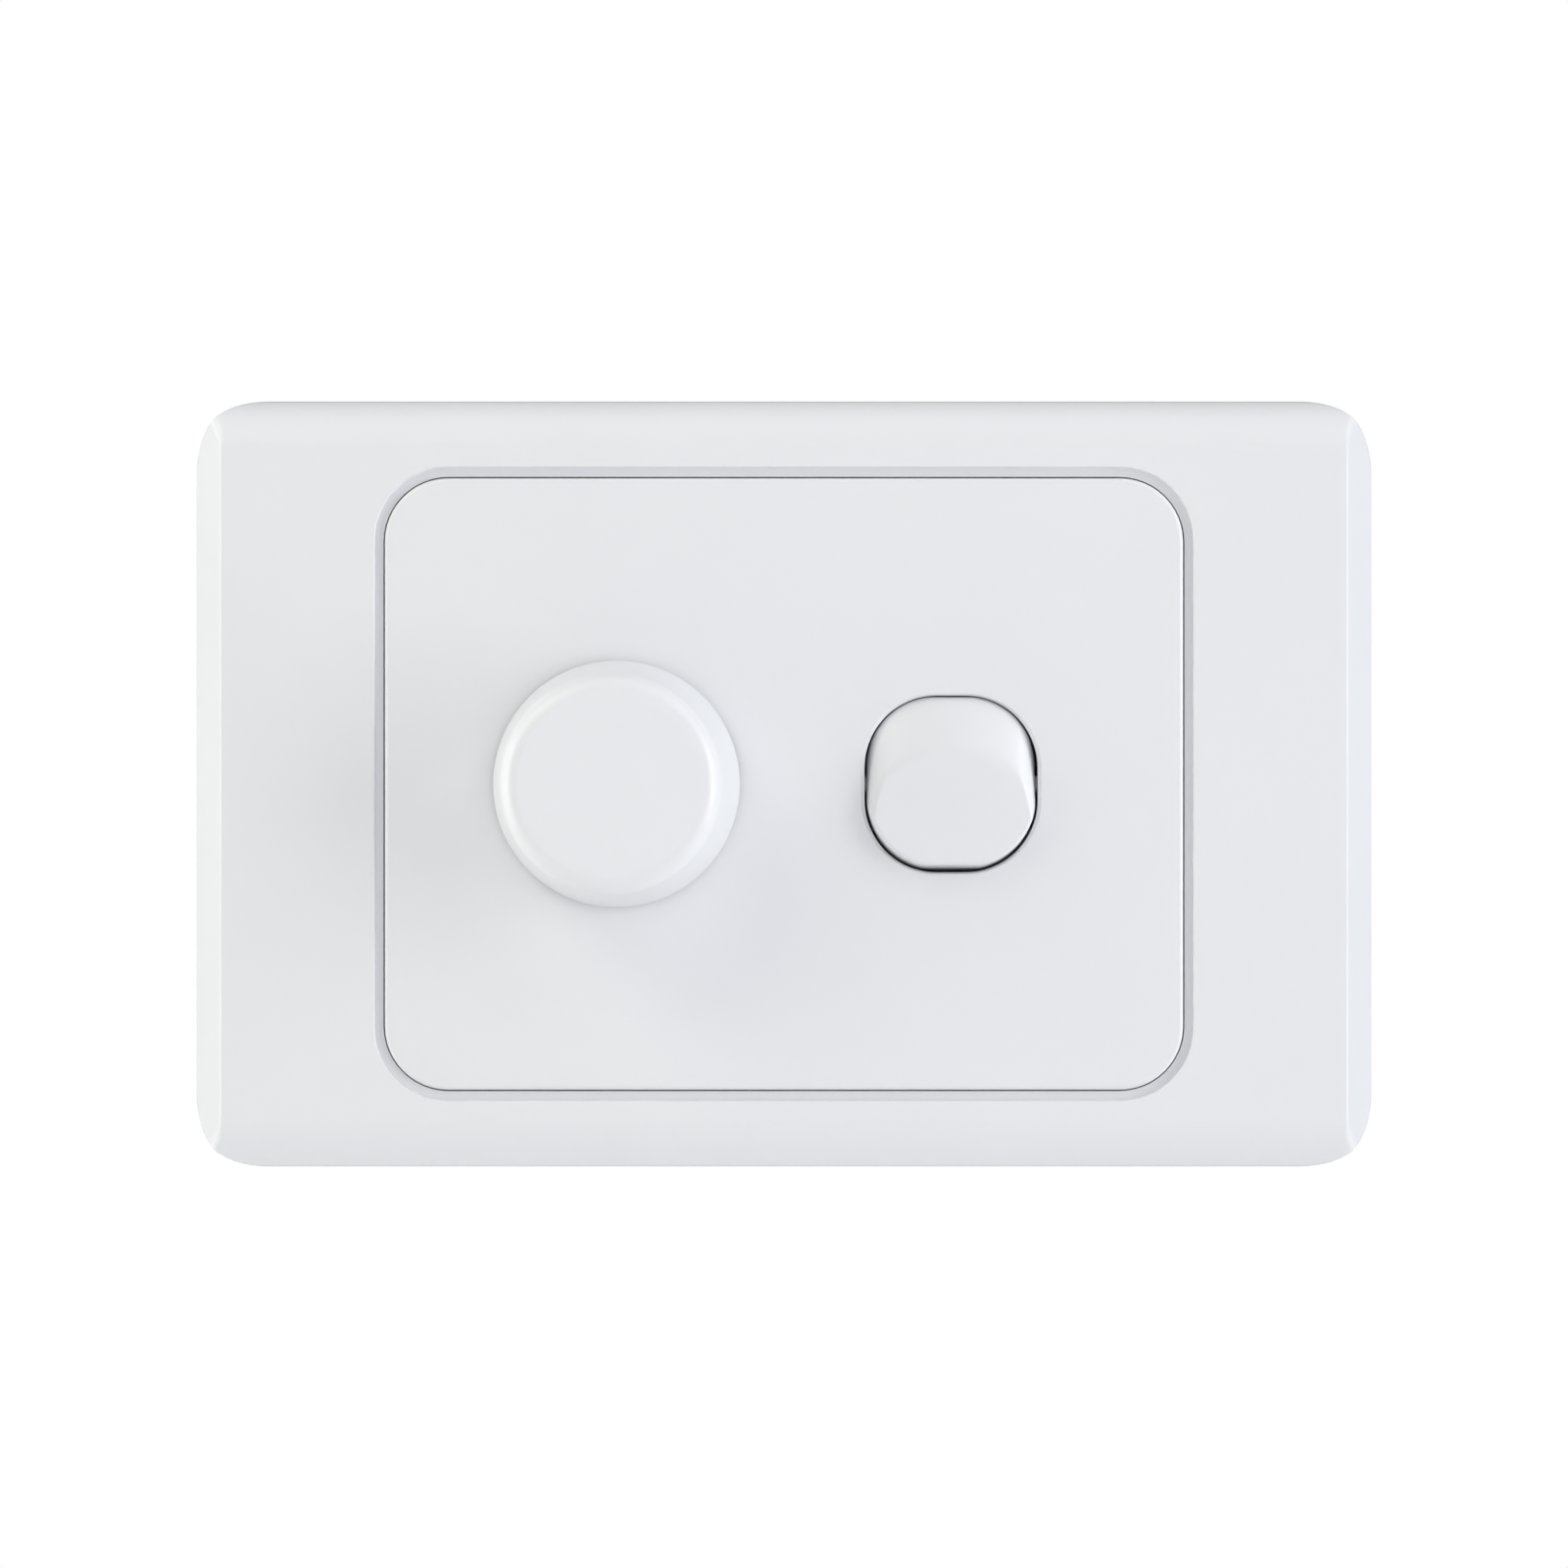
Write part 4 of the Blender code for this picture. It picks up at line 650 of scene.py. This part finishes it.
def build_snap_post(side_x, side_z):
    """A tapered post that ends in a snap bead."""
    x, z = side_x * POST_AT[0], side_z * POST_AT[1]
    half_width, half_thick, corner = POST_PLAN
    shape = bmesh.new()
    loops = []
    for depth, inset in ((FACE - SHELL, 0.0), *POST_LEVELS):
        points = outline(half_width - inset, half_thick - inset, corner, 4)
        loops.append([(x + u, -depth, z + v) for u, v in points])
    first, last = loft(shape, loops)
    fill(shape, first)
    fill(shape, last)
    name = "surround_post_" + ("right" if side_x > 0 else "left") + ("_top" if side_z > 0 else "_bottom")
    weigh_normals(new_piece(name, shape, "plate_white", "surround_cover"))


# --- grid plate ----------------------------------------------------------------------
def build_grid_plate():
    """The flange and the raised hollow panel with its two apertures, screw holes and slots."""
    shape = bmesh.new()
    outside = [inset_loop(FLANGE, across, along) for across, along in fillet_steps(REAR_ROUND, 2)]
    outside += [
        inset_loop(FLANGE, across, FLANGE_THICK - along)
        for across, along in reversed(fillet_steps(FLANGE_ROUND, 3))
    ]
    rear, flange_front = loft(shape, outside)
    steps = fillet_steps(PANEL_ROUND, 6)
    panel = [
        inset_loop(PANEL, -PANEL_FOOT_ROUND, FLANGE_THICK),
        inset_loop(PANEL, 0, FLANGE_THICK + PANEL_FOOT_ROUND),
    ]
    panel += [inset_loop(PANEL, across, FACE - along) for across, along in reversed(steps)]
    foot, panel_face = loft(shape, panel)
    fill(shape, flange_front, foot)
    front_holes, rear_holes = [panel_face], []
    for centre_x in (-MODULE_X, MODULE_X):
        rows = [
            inset_loop(APERTURE, -across, FACE - along, centre_x, 24)
            for across, along in fillet_steps(APERTURE_ROUND, 2)
        ]
        rows.append(inset_loop(APERTURE_THROAT, 0, FACE - APERTURE_BEVEL, centre_x, 24))
        rows.append(inset_loop(APERTURE_THROAT, 0, SKIN_BACK, centre_x, 24))
        first, last = loft(shape, rows)
        front_holes.append(first)
        rear_holes.append(last)
    fill(shape, *front_holes)
    hollow = [inset_loop(HOLLOW, 0, SKIN_BACK), inset_loop(HOLLOW, 0, 0)]
    ceiling, hollow_rim = loft(shape, hollow)
    fill(shape, ceiling, *rear_holes)
    fill(shape, rear, hollow_rim)
    grid = new_piece("grid_plate_body", shape, "plate_white", sharp=50)
    carve(grid, grid_cutters())
    weigh_normals(grid)
    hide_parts("grid_plate")
    build_rib()
    for centre_x, side_name in ((-MODULE_X, "dimmer"), (MODULE_X, "switch")):
        for side in (-1, 1):
            build_hook(centre_x, side, side_name + ("_top" if side > 0 else "_bottom"))


def grid_cutters():
    """The screws' holes and head notches, and the slots for the cover's posts."""
    slot_half_x, slot_half_z = POST_SLOT
    cutters = []
    for side in (-1, 1):
        x = side * FIXING_X
        cutters.append(rod_shape(HEAD_NOTCH, (x, -SKIN_BACK, 0), (x, -FLANGE_THICK, 0), 64))
        cutters.append(rod_shape(FIXING_HOLE, (x, -FLANGE_THICK - 1, 0), (x, 1, 0), 48))
        for side_z in (-1, 1):
            x_mid, z_mid = side * POST_AT[0], side_z * POST_AT[1]
            slot_x = (x_mid - slot_half_x, x_mid + slot_half_x)
            slot_z = (z_mid - slot_half_z, z_mid + slot_half_z)
            cutters.append(box_shape(slot_x, (-FLANGE_THICK - 1, 1), slot_z))
    return cutters


def build_rib():
    """The upright rib behind the panel, between the two modules."""
    shape = box_shape(RIB_X, (-SKIN_BACK, -RIB_BACK), (-HOLLOW[1], HOLLOW[1]))
    soften(new_piece("panel_rib", shape, "plate_white"), 0.2)


def build_hook(centre_x, side, name):
    """A latch arm with a flared foot and a sloped nib."""
    inner, outer = HOOK_ARM
    foot_depth, flare = HOOK_FOOT
    reach, nib_back, nib_front = HOOK_NIB
    lead_width, lead_depth = NIB_LEAD
    section = [
        (SKIN_BACK, outer + flare),
        (foot_depth, outer),
        (nib_back, outer),
        (nib_back, inner - lead_width),
        (nib_back + lead_depth, reach),
        (nib_front, reach),
        (nib_front, inner),
        (SKIN_BACK, inner),
    ]
    shape = bmesh.new()
    ends = []
    for x in (centre_x - HOOK_HALF, centre_x + HOOK_HALF):
        ends.append(add_loop(shape, [(x, -depth, side * z) for depth, z in section]))
        shape.faces.new(ends[-1])
    bridge(shape, *ends)
    soften(new_piece("module_hook_" + name, shape, "plate_white"), 0.15)


# --- rocker --------------------------------------------------------------------------
def rounded_square_distance(x, z):
    """Signed distance to the rocker's plan, negative inside."""
    across = abs(x) - (ROCKER_HALF[0] - ROCKER_CORNER)
    up = abs(z) - (ROCKER_HALF[1] - ROCKER_CORNER)
    return math.hypot(max(across, 0), max(up, 0)) + min(max(across, up), 0) - ROCKER_CORNER


def rocker_distance(x, z, depth):
    """How far outside the rocker's side walls a point is; they clear both positions."""
    ahead = PIVOT - depth
    pressed_z = ahead * math.sin(TRAVEL) + z * math.cos(TRAVEL)
    lower = -ROCKER_TOP - math.tan(TRAVEL) * ahead
    return max(
        rounded_square_distance(x, z),
        rounded_square_distance(x, pressed_z),
        z - ROCKER_TOP,
        lower - z,
    )


def rocker_reach(angle, depth, inset=0.0):
    """Distance from the centre line to the side wall in one direction."""
    low, high = 0.0, 2 * ROCKER_HALF[1]
    for _ in range(24):
        middle = (low + high) / 2
        inside = rocker_distance(middle * math.cos(angle), middle * math.sin(angle), depth) < -inset
        low, high = (middle, high) if inside else (low, middle)
    return low


def rocker_front(x, z):
    """Front surface: flat below, a leaning cylinder above, with a soft crest between."""
    height = z - CREST_Z
    drop, reach, power = CURL
    sag = UPPER_RADIUS - math.sqrt(UPPER_RADIUS**2 - x**2) + drop * (abs(x) / reach) ** power
    slope = ROCKER_FRONT - height * math.tan(UPPER_TILT) - sag / math.cos(UPPER_TILT)
    return soft_min(ROCKER_FRONT, slope, CREST_BLEND)


def rocker_loop(inset, drop):
    """A ring on the front surface, inset from the walls and dropped below it."""
    points = []
    for step in range(ROCKER_SIDES):
        angle = math.tau * step / ROCKER_SIDES
        depth = ROCKER_FRONT
        for _ in range(3):
            reach = rocker_reach(angle, depth - drop, inset)
            x, z = reach * math.cos(angle), reach * math.sin(angle)
            depth = rocker_front(x, z)
        points.append((x, z, depth - drop))
    return points


def build_rocker():
    """The rocker's hollow cap: side walls, soft edge, crowned face, then the back."""
    shape = bmesh.new()
    edge_rows = []
    for across, along in reversed(fillet_steps(ROCKER_ROUND, 5)):
        edge_rows.append(rocker_loop(across, along))
    face = edge_rows[-1]
    rows = []
    for depth in ROCKER_WALLS:
        loop = []
        for step in range(ROCKER_SIDES):
            angle = math.tau * step / ROCKER_SIDES
            reach = rocker_reach(angle, depth)
            loop.append((MODULE_X + reach * math.cos(angle), -depth, reach * math.sin(angle)))
        rows.append(loop)
    for row in edge_rows:
        rows.append([(MODULE_X + x, -depth, z) for x, z, depth in row])
    for ring in range(ROCKER_RINGS - 1, 0, -1):
        share = ring / ROCKER_RINGS
        loop = []
        for x, z, _ in face:
            u, v = x * share, z * share
            loop.append((MODULE_X + u, -rocker_front(u, v), v))
        rows.append(loop)
    back, centre = loft(shape, rows)
    tip = shape.verts.new((MODULE_X, -rocker_front(0, 0), 0))
    for index in range(ROCKER_SIDES):
        shape.faces.new((centre[index], centre[(index + 1) % ROCKER_SIDES], tip))
    half, corner, ceiling = ROCKER_HOLLOW
    form = (half, half, corner)
    hollow = [inset_loop(form, 0, ROCKER_BACK, MODULE_X), inset_loop(form, 0.15, ceiling, MODULE_X)]
    rim, top = loft(shape, hollow)
    fill(shape, back, rim)
    fill(shape, top)
    cap = new_piece("rocker_cap", shape, "rocker_white", "rocker", sharp=48)
    weigh_normals(cap)
    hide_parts("rocker")
    build_rocker_inside()


def build_rocker_inside():
    """The bored centre post and the trunnion pins behind the rocker's face."""
    outer, inner, front, back = POST
    post = [(inner, back), (outer, back), (outer, front), (inner, front), (inner, back)]
    shape = lathe(rounded(post, 0.2)[1:-1], POST_BASE, POST_AXIS, 48, closed=True)
    weigh_normals(new_piece("rocker_post", shape, "rocker_white", "rocker"))
    radius, length, start_x = PIN
    for side, name in ((-1, "left"), (1, "right")):
        profile = rounded([(0, length), (radius, length), (radius, 0), (0, 0)], 0.2)
        base = POST_BASE + Vector((side * start_x, 0, 0))
        pin = lathe(profile, base, (side, 0, 0), 24)
        weigh_normals(new_piece("rocker_pin_" + name, pin, "rocker_white", "rocker"))


def build_spring():
    """The coil spring, which closes up between the rocker and the plunger."""
    coil, wire, start, end, turns = SPRING
    section = [(coil + out, up) for out, up in circle(wire, 8)]
    turn_steps = 32
    place = stand(POST_BASE, POST_AXIS)
    shape = wind(lambda step: section, turns * turn_steps, turn_steps, start, end, place)
    spring = new_piece("plunger_coil", shape, "spring_steel", body=None, sharp=75)
    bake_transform(spring)
    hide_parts("plunger_spring")


# --- knob ----------------------------------------------------------------------------
def build_knob():
    """The knob's shell, turned from one profile that runs from the face round to the inside."""
    face_rings, fillet_rings = 4, 16
    profile = [(KNOB_TOP * ring / face_rings, KNOB_HEIGHT) for ring in range(face_rings)]
    for step in range(fillet_rings + 1):
        angle = math.pi / 2 * step / fillet_rings
        radius = KNOB_TOP + (KNOB_SHOULDER - KNOB_TOP) * math.sin(angle)
        profile.append((radius, KNOB_HEIGHT - KNOB_FILLET + KNOB_FILLET * math.cos(angle)))
    profile += [
        (KNOB_BASE - 0.02, KNOB_FOOT),
        (KNOB_BASE - KNOB_FOOT, 0),
        (KNOB_BASE - KNOB_WALL, 0),
        (KNOB_SHOULDER - KNOB_WALL, KNOB_HEIGHT - KNOB_FILLET),
        (KNOB_TOP - KNOB_WALL / 2, KNOB_HEIGHT - KNOB_WALL),
        (0, KNOB_HEIGHT - KNOB_WALL),
    ]
    base = (-MODULE_X, -KNOB_BACK, 0)
    shape = lathe(profile, base, (0, -1, 0), KNOB_SEGMENTS)
    cap = new_piece("knob_cap", shape, "knob_white", "knob", sharp=50)
    weigh_normals(cap)
    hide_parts("dimmer_knob")
    build_knob_hub()
    build_knob_webs()


def build_knob_hub():
    """Hub with a D-shaped bore for the shaft."""
    radius, flat = SHAFT_BORE
    segments = 64
    outer = circle(KNOB_HUB, segments)
    bore = [(x, min(z, flat)) for x, z in circle(radius, segments)]
    start, end = KNOB_BACK + HUB_START, KNOB_BACK + KNOB_HEIGHT - KNOB_WALL
    shape = bmesh.new()
    flare = 1 + BORE_CHAMFER / radius
    loops = [
        at_depth(outer, end, -MODULE_X),
        at_depth(outer, start + BORE_CHAMFER, -MODULE_X),
        at_depth(circle(KNOB_HUB - BORE_CHAMFER, segments), start, -MODULE_X),
        at_depth([(x * flare, z * flare) for x, z in bore], start, -MODULE_X),
        at_depth(bore, start + BORE_CHAMFER, -MODULE_X),
        at_depth(bore, end, -MODULE_X),
    ]
    first, last = loft(shape, loops)
    bridge(shape, last, first)
    weigh_normals(new_piece("knob_hub", shape, "knob_white", "knob"))


def build_knob_webs():
    """Webs between the hub and the shell."""
    reach, half_thick, start = WEB
    depths = (KNOB_BACK + start, KNOB_BACK + KNOB_HEIGHT - KNOB_WALL)
    for index in range(WEB_COUNT):
        shape = box_shape((KNOB_HUB - 0.1, reach), (-half_thick, half_thick), depths)
        turn = Matrix.Rotation(math.tau * (index + 0.5) / WEB_COUNT, 4, "Z")
        upright = Matrix.Translation((-MODULE_X, 0, 0)) @ Matrix.Rotation(math.pi / 2, 4, "X") @ turn
        bmesh.ops.transform(shape, matrix=upright, verts=shape.verts)
        soften(new_piece("knob_web_" + str(index + 1), shape, "knob_white", "knob"), 0.1)


# --- screws --------------------------------------------------------------------------
FIXING_SCREWS = (("fixing_screw_left", -1), ("fixing_screw_right", 1))
FIXING_HEAD = (2.7, 2.2)  # radius and height
FIXING_THREAD = (1.6, 1.6, 0.6)  # shank radius, point length and pitch
TERMINAL_THREAD = (1.7, 0.4, 0.5)
THREAD_STEPS = 24  # a turn
HEAD_GAP = 0.3  # clearance between the heads and the faces under them
RECESS = (3.4, 0.8, 1.1)  # the cross recess: length, width and depth
TERMINALS = (
    "terminal_common",
    "terminal_top",
    "terminal_bottom",
    "terminal_loop",
    "dimmer_terminal_line",
    "dimmer_terminal_load",
)


def thread_shape(radius, root, pitch, start, end, place):
    """A screw thread: a closed ridge that winds up the shank and fades out at both ends."""
    section = ((-0.43, root), (-0.07, radius), (0.07, radius), (0.43, root))  # height in pitches
    steps = int((end - start) / pitch * THREAD_STEPS)

    def section_at(step):
        fade = min(1.0, step / THREAD_STEPS + 0.05, (steps - step) / THREAD_STEPS + 0.05)
        return [(root + (reach - root) * fade, share * pitch) for share, reach in section]

    return wind(section_at, steps, THREAD_STEPS, start, end, place)


def cross_cutter(place, height):
    """A plus-shaped cutter that sinks a driver recess into a head."""
    length, width, depth = RECESS
    near, far = width / 2, length / 2
    corner = [(far, near), (near, near), (near, far)]
    plan = []
    for quarter in range(4):
        turned = Matrix.Rotation(math.pi / 2 * quarter, 2)
        plan += [turned @ Vector(point) for point in corner]
    shape = bmesh.new()
    ends = []
    for level, share in ((height - depth, 0.8), (height + 1, 1.2)):  # narrower at the bottom
        ends.append(add_loop(shape, [place @ Vector((x * share, y * share, level)) for x, y in plan]))
        shape.faces.new(ends[-1])
    bridge(shape, *ends)
    return shape


def build_screw(name, base, direction, head, length, thread):
    """Head with a driver recess, a threaded shank and a pointed or flat end."""
    head_radius, head_height = head
    shank, point, pitch = thread
    root = shank - 0.35 * pitch
    profile = rounded(
        [
            (0, head_height),
            (head_radius * 0.75, head_height),
            (head_radius, head_height - 0.35),
            (head_radius, 0),
            (shank, 0),
            (shank, -0.6),
            (root, -0.6 - 0.3 * pitch),
            (root, point - length),
            (root / 3, -length),
            (0, -length),
        ],
        0.12,
    )
    place = stand(base, direction)
    screw = new_piece(name + "_body", lathe(profile, base, direction), "zinc_plated_steel")
    carve(screw, [cross_cutter(place, head_height)])
    weigh_normals(screw)
    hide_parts(name)
    ridge = thread_shape(shank, root - 0.05, pitch, point - length, -0.9, place)
    new_piece(name + "_thread", ridge, "zinc_plated_steel", sharp=75)


def build_fixing_screws():
    seat = -FLANGE_THICK - HEAD_GAP
    for name, side in FIXING_SCREWS:
        base = (side * FIXING_X, seat, 0)
        length = box_mm(name)[1].y - seat
        build_screw(name, base, (0, -1, 0), FIXING_HEAD, length, FIXING_THREAD)


def build_terminal_screws():
    for name in TERMINALS:
        low, high = box_mm(name + "_screw")
        seat = box_mm(name)[1].y + HEAD_GAP
        base = ((low.x + high.x) / 2, seat, (low.z + high.z) / 2)
        head = ((high.x - low.x) / 2, high.y - seat)
        build_screw(name + "_screw", base, (0, 1, 0), head, seat - low.y, TERMINAL_THREAD)


# --- modules seen from behind --------------------------------------------------------
SOFTENED = {  # CAD nodes that keep their shape and get small edge rounds, in millimetres
    "switch_housing": 0.3,
    "switch_base": 0.25,
    "dimmer_housing": 0.6,
    "dimmer_rear_cover": 0.35,
    "terminal_common": 0.25,
    "terminal_top": 0.25,
    "terminal_bottom": 0.25,
    "terminal_loop": 0.25,
    "dimmer_terminal_line": 0.25,
    "dimmer_terminal_load": 0.25,
    "pot_nut": 0.25,
    "pot_washer": 0.08,
    "pot_body": 0.25,
    "pot_bush": 0.12,
    "contact_arm": 0.12,
    "common_contact": 0.12,
    "fixed_contact_top": 0.12,
    "fixed_contact_bottom": 0.12,
    "film_capacitor": 0.7,
    "heat_sink": 0.2,
    "triac": 0.3,
    "triac_tab": 0.15,
    "circuit_board": 0.1,
    "pot_shaft": 0.2,
}
GRIPS = (7, 5.0, 0.45)  # number, spacing and half thickness of the grip ribs


def finish_cad_nodes():
    """Procedural materials on every carried-over node, and edge rounds where they show."""
    for name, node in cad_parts.items():
        slot = node.data.materials[0].name
        node.material_slots[0].material = MATERIALS[slot]
        weld = node.modifiers.new("weld", "WELD")
        weld.merge_threshold = WELD
        if name in SOFTENED:
            flat = node.modifiers.new("flat", "DECIMATE")
            flat.decimate_type = "DISSOLVE"
            flat.angle_limit = math.radians(1)
            soften(node, SOFTENED[name], 3)
        else:
            weigh_normals(node)


def build_housing_details():
    """Moulded grip ribs on the dimmer module's sides."""
    low, high = box_mm("dimmer_housing")
    count, spacing, half_thick = GRIPS
    for side in (-1, 1):
        wall_x = high.x if side > 0 else low.x
        for index in range(count):
            z = (index - (count - 1) / 2) * spacing
            x = sorted((wall_x - side * 0.2, wall_x + side * 0.35))
            shape = box_shape(x, (3.0, high.y - 3.0), (z - half_thick, z + half_thick))
            name = "dimmer_grip_" + ("right_" if side > 0 else "left_") + str(index + 1)
            soften(new_piece(name, shape, "mechanism_grey"), 0.25)


# --- stage, camera and light ---------------------------------------------------------
FLOOR = (900.0, 800.0, -300.0)  # half width, half depth and height in millimetres
FLOOR_TONES = ((0.86, 0.86, 0.86), (0.9, 0.9, 0.9))
FLOOR_GLOW = ((0.95, 0.98, 1.0, 1.0), 0.18)  # colour and strength; it lights the plate from below
CAMERA_DISTANCE = 0.360  # metres
FOCAL_LENGTH = 81.97
STUDIO_GLOW = ((0.87, 0.91, 1.0, 1), 0.176)  # the surroundings as light on the object
STUDIO_SEEN = ((1, 1, 1, 1), 1.0)  # the surroundings as the camera sees them
SOFT_BOXES = (  # name, bearing and rise in degrees, distance and size in metres,
    # power in watts, colour, and whether the box shows in reflections
    ("front_fill", -90, 0, 0.42, (0.25, 0.2), 0.36, (1.0, 0.93, 1.0), False),
    ("right_box", -22, 0, 1.0, (0.62, 1.0), 7.5, (0.98, 1.0, 0.99), True),
    ("left_box", -165, 0, 1.0, (0.36, 1.0), 4.6, (0.96, 1.0, 0.9), True),
    ("left_rim", 170, 0, 1.0, (0.36, 1.0), 2.4, (0.97, 0.96, 1.0), True),
    ("left_top", -145, 42, 1.0, (0.9, 0.4), 3.0, (0.98, 1.0, 0.82), True),
    ("right_top", -35, 42, 1.0, (0.9, 0.4), 1.7, (0.9, 0.97, 1.0), True),
    ("top_box", -90, 78.7, 0.612, (0.9, 0.4), 1.0, (0.95, 0.92, 1.0), True),
)


def build_stage():
    """A small pale floor well below the plate, clear of the front view."""
    shape = bmesh.new()
    half_x, half_y, level = FLOOR
    corners = ((-half_x, -half_y), (half_x, -half_y), (half_x, half_y), (-half_x, half_y))
    shape.faces.new([shape.verts.new((x, y, level)) for x, y in corners])
    bmesh.ops.subdivide_edges(shape, edges=shape.edges, cuts=2, use_grid_fill=True)
    floor = add_object("floor", metre_mesh("floor", shape))
    material, nodes, links, shader, place = start_material("pale_floor", 0.7)
    vary_colour(nodes, links, shader, noise(nodes, links, place, 8.0), *FLOOR_TONES)
    colour, strength = FLOOR_GLOW
    shader.inputs["Emission Color"].default_value = colour
    shader.inputs["Emission Strength"].default_value = strength
    floor.data.materials.append(material)


def build_camera():
    """Straight on, level with the plate's centre."""
    data = bpy.data.cameras.new("camera")
    data.lens = FOCAL_LENGTH
    data.sensor_width = 36.0
    data.clip_start = 0.01
    camera = add_object("camera", data)
    camera.location = (0, -CAMERA_DISTANCE, 0)
    camera.rotation_euler = (math.pi / 2, 0, 0)
    bpy.context.scene.camera = camera


def area_light(name, bearing, rise, distance, size, power, colour, glossy):
    """A soft box aimed at the plate's centre; bearing and rise are in degrees."""
    bearing, rise = math.radians(bearing), math.radians(rise)
    level = distance * math.cos(rise)
    place = Vector((level * math.cos(bearing), level * math.sin(bearing), distance * math.sin(rise)))
    data = bpy.data.lights.new(name, "AREA")
    data.shape = "RECTANGLE"
    data.size, data.size_y = size
    data.energy = power
    data.color = colour
    light = add_object(name, data)
    light.location = place
    light.rotation_euler = (-place).to_track_quat("-Z", "Y").to_euler()
    light.visible_glossy = glossy


def build_lights():
    """White surroundings seen by the camera, dimmer as light, and the soft boxes."""
    world = bpy.data.worlds.new("studio")
    bpy.context.scene.world = world
    world.use_nodes = True
    nodes, links = world.node_tree.nodes, world.node_tree.links
    nodes.clear()
    rays = nodes.new("ShaderNodeLightPath")
    mix = nodes.new("ShaderNodeMixShader")
    for socket, (colour, strength) in ((1, STUDIO_GLOW), (2, STUDIO_SEEN)):
        background = nodes.new("ShaderNodeBackground")
        background.inputs["Color"].default_value = colour
        background.inputs["Strength"].default_value = strength
        links.new(background.outputs["Background"], mix.inputs[socket])
    output = nodes.new("ShaderNodeOutputWorld")
    links.new(rays.outputs["Is Camera Ray"], mix.inputs["Fac"])
    links.new(mix.outputs["Shader"], output.inputs["Surface"])
    for settings in SOFT_BOXES:
        area_light(*settings)


def main():
    scene = bpy.context.scene
    scene.view_settings.view_transform = "Standard"
    scene.view_settings.look = "None"
    build_camera()
    build_lights()
    build_stage()
    finish_cad_nodes()
    build_surround()
    build_grid_plate()
    build_rocker()
    build_spring()
    build_knob()
    build_fixing_screws()
    build_terminal_screws()
    build_housing_details()


main()
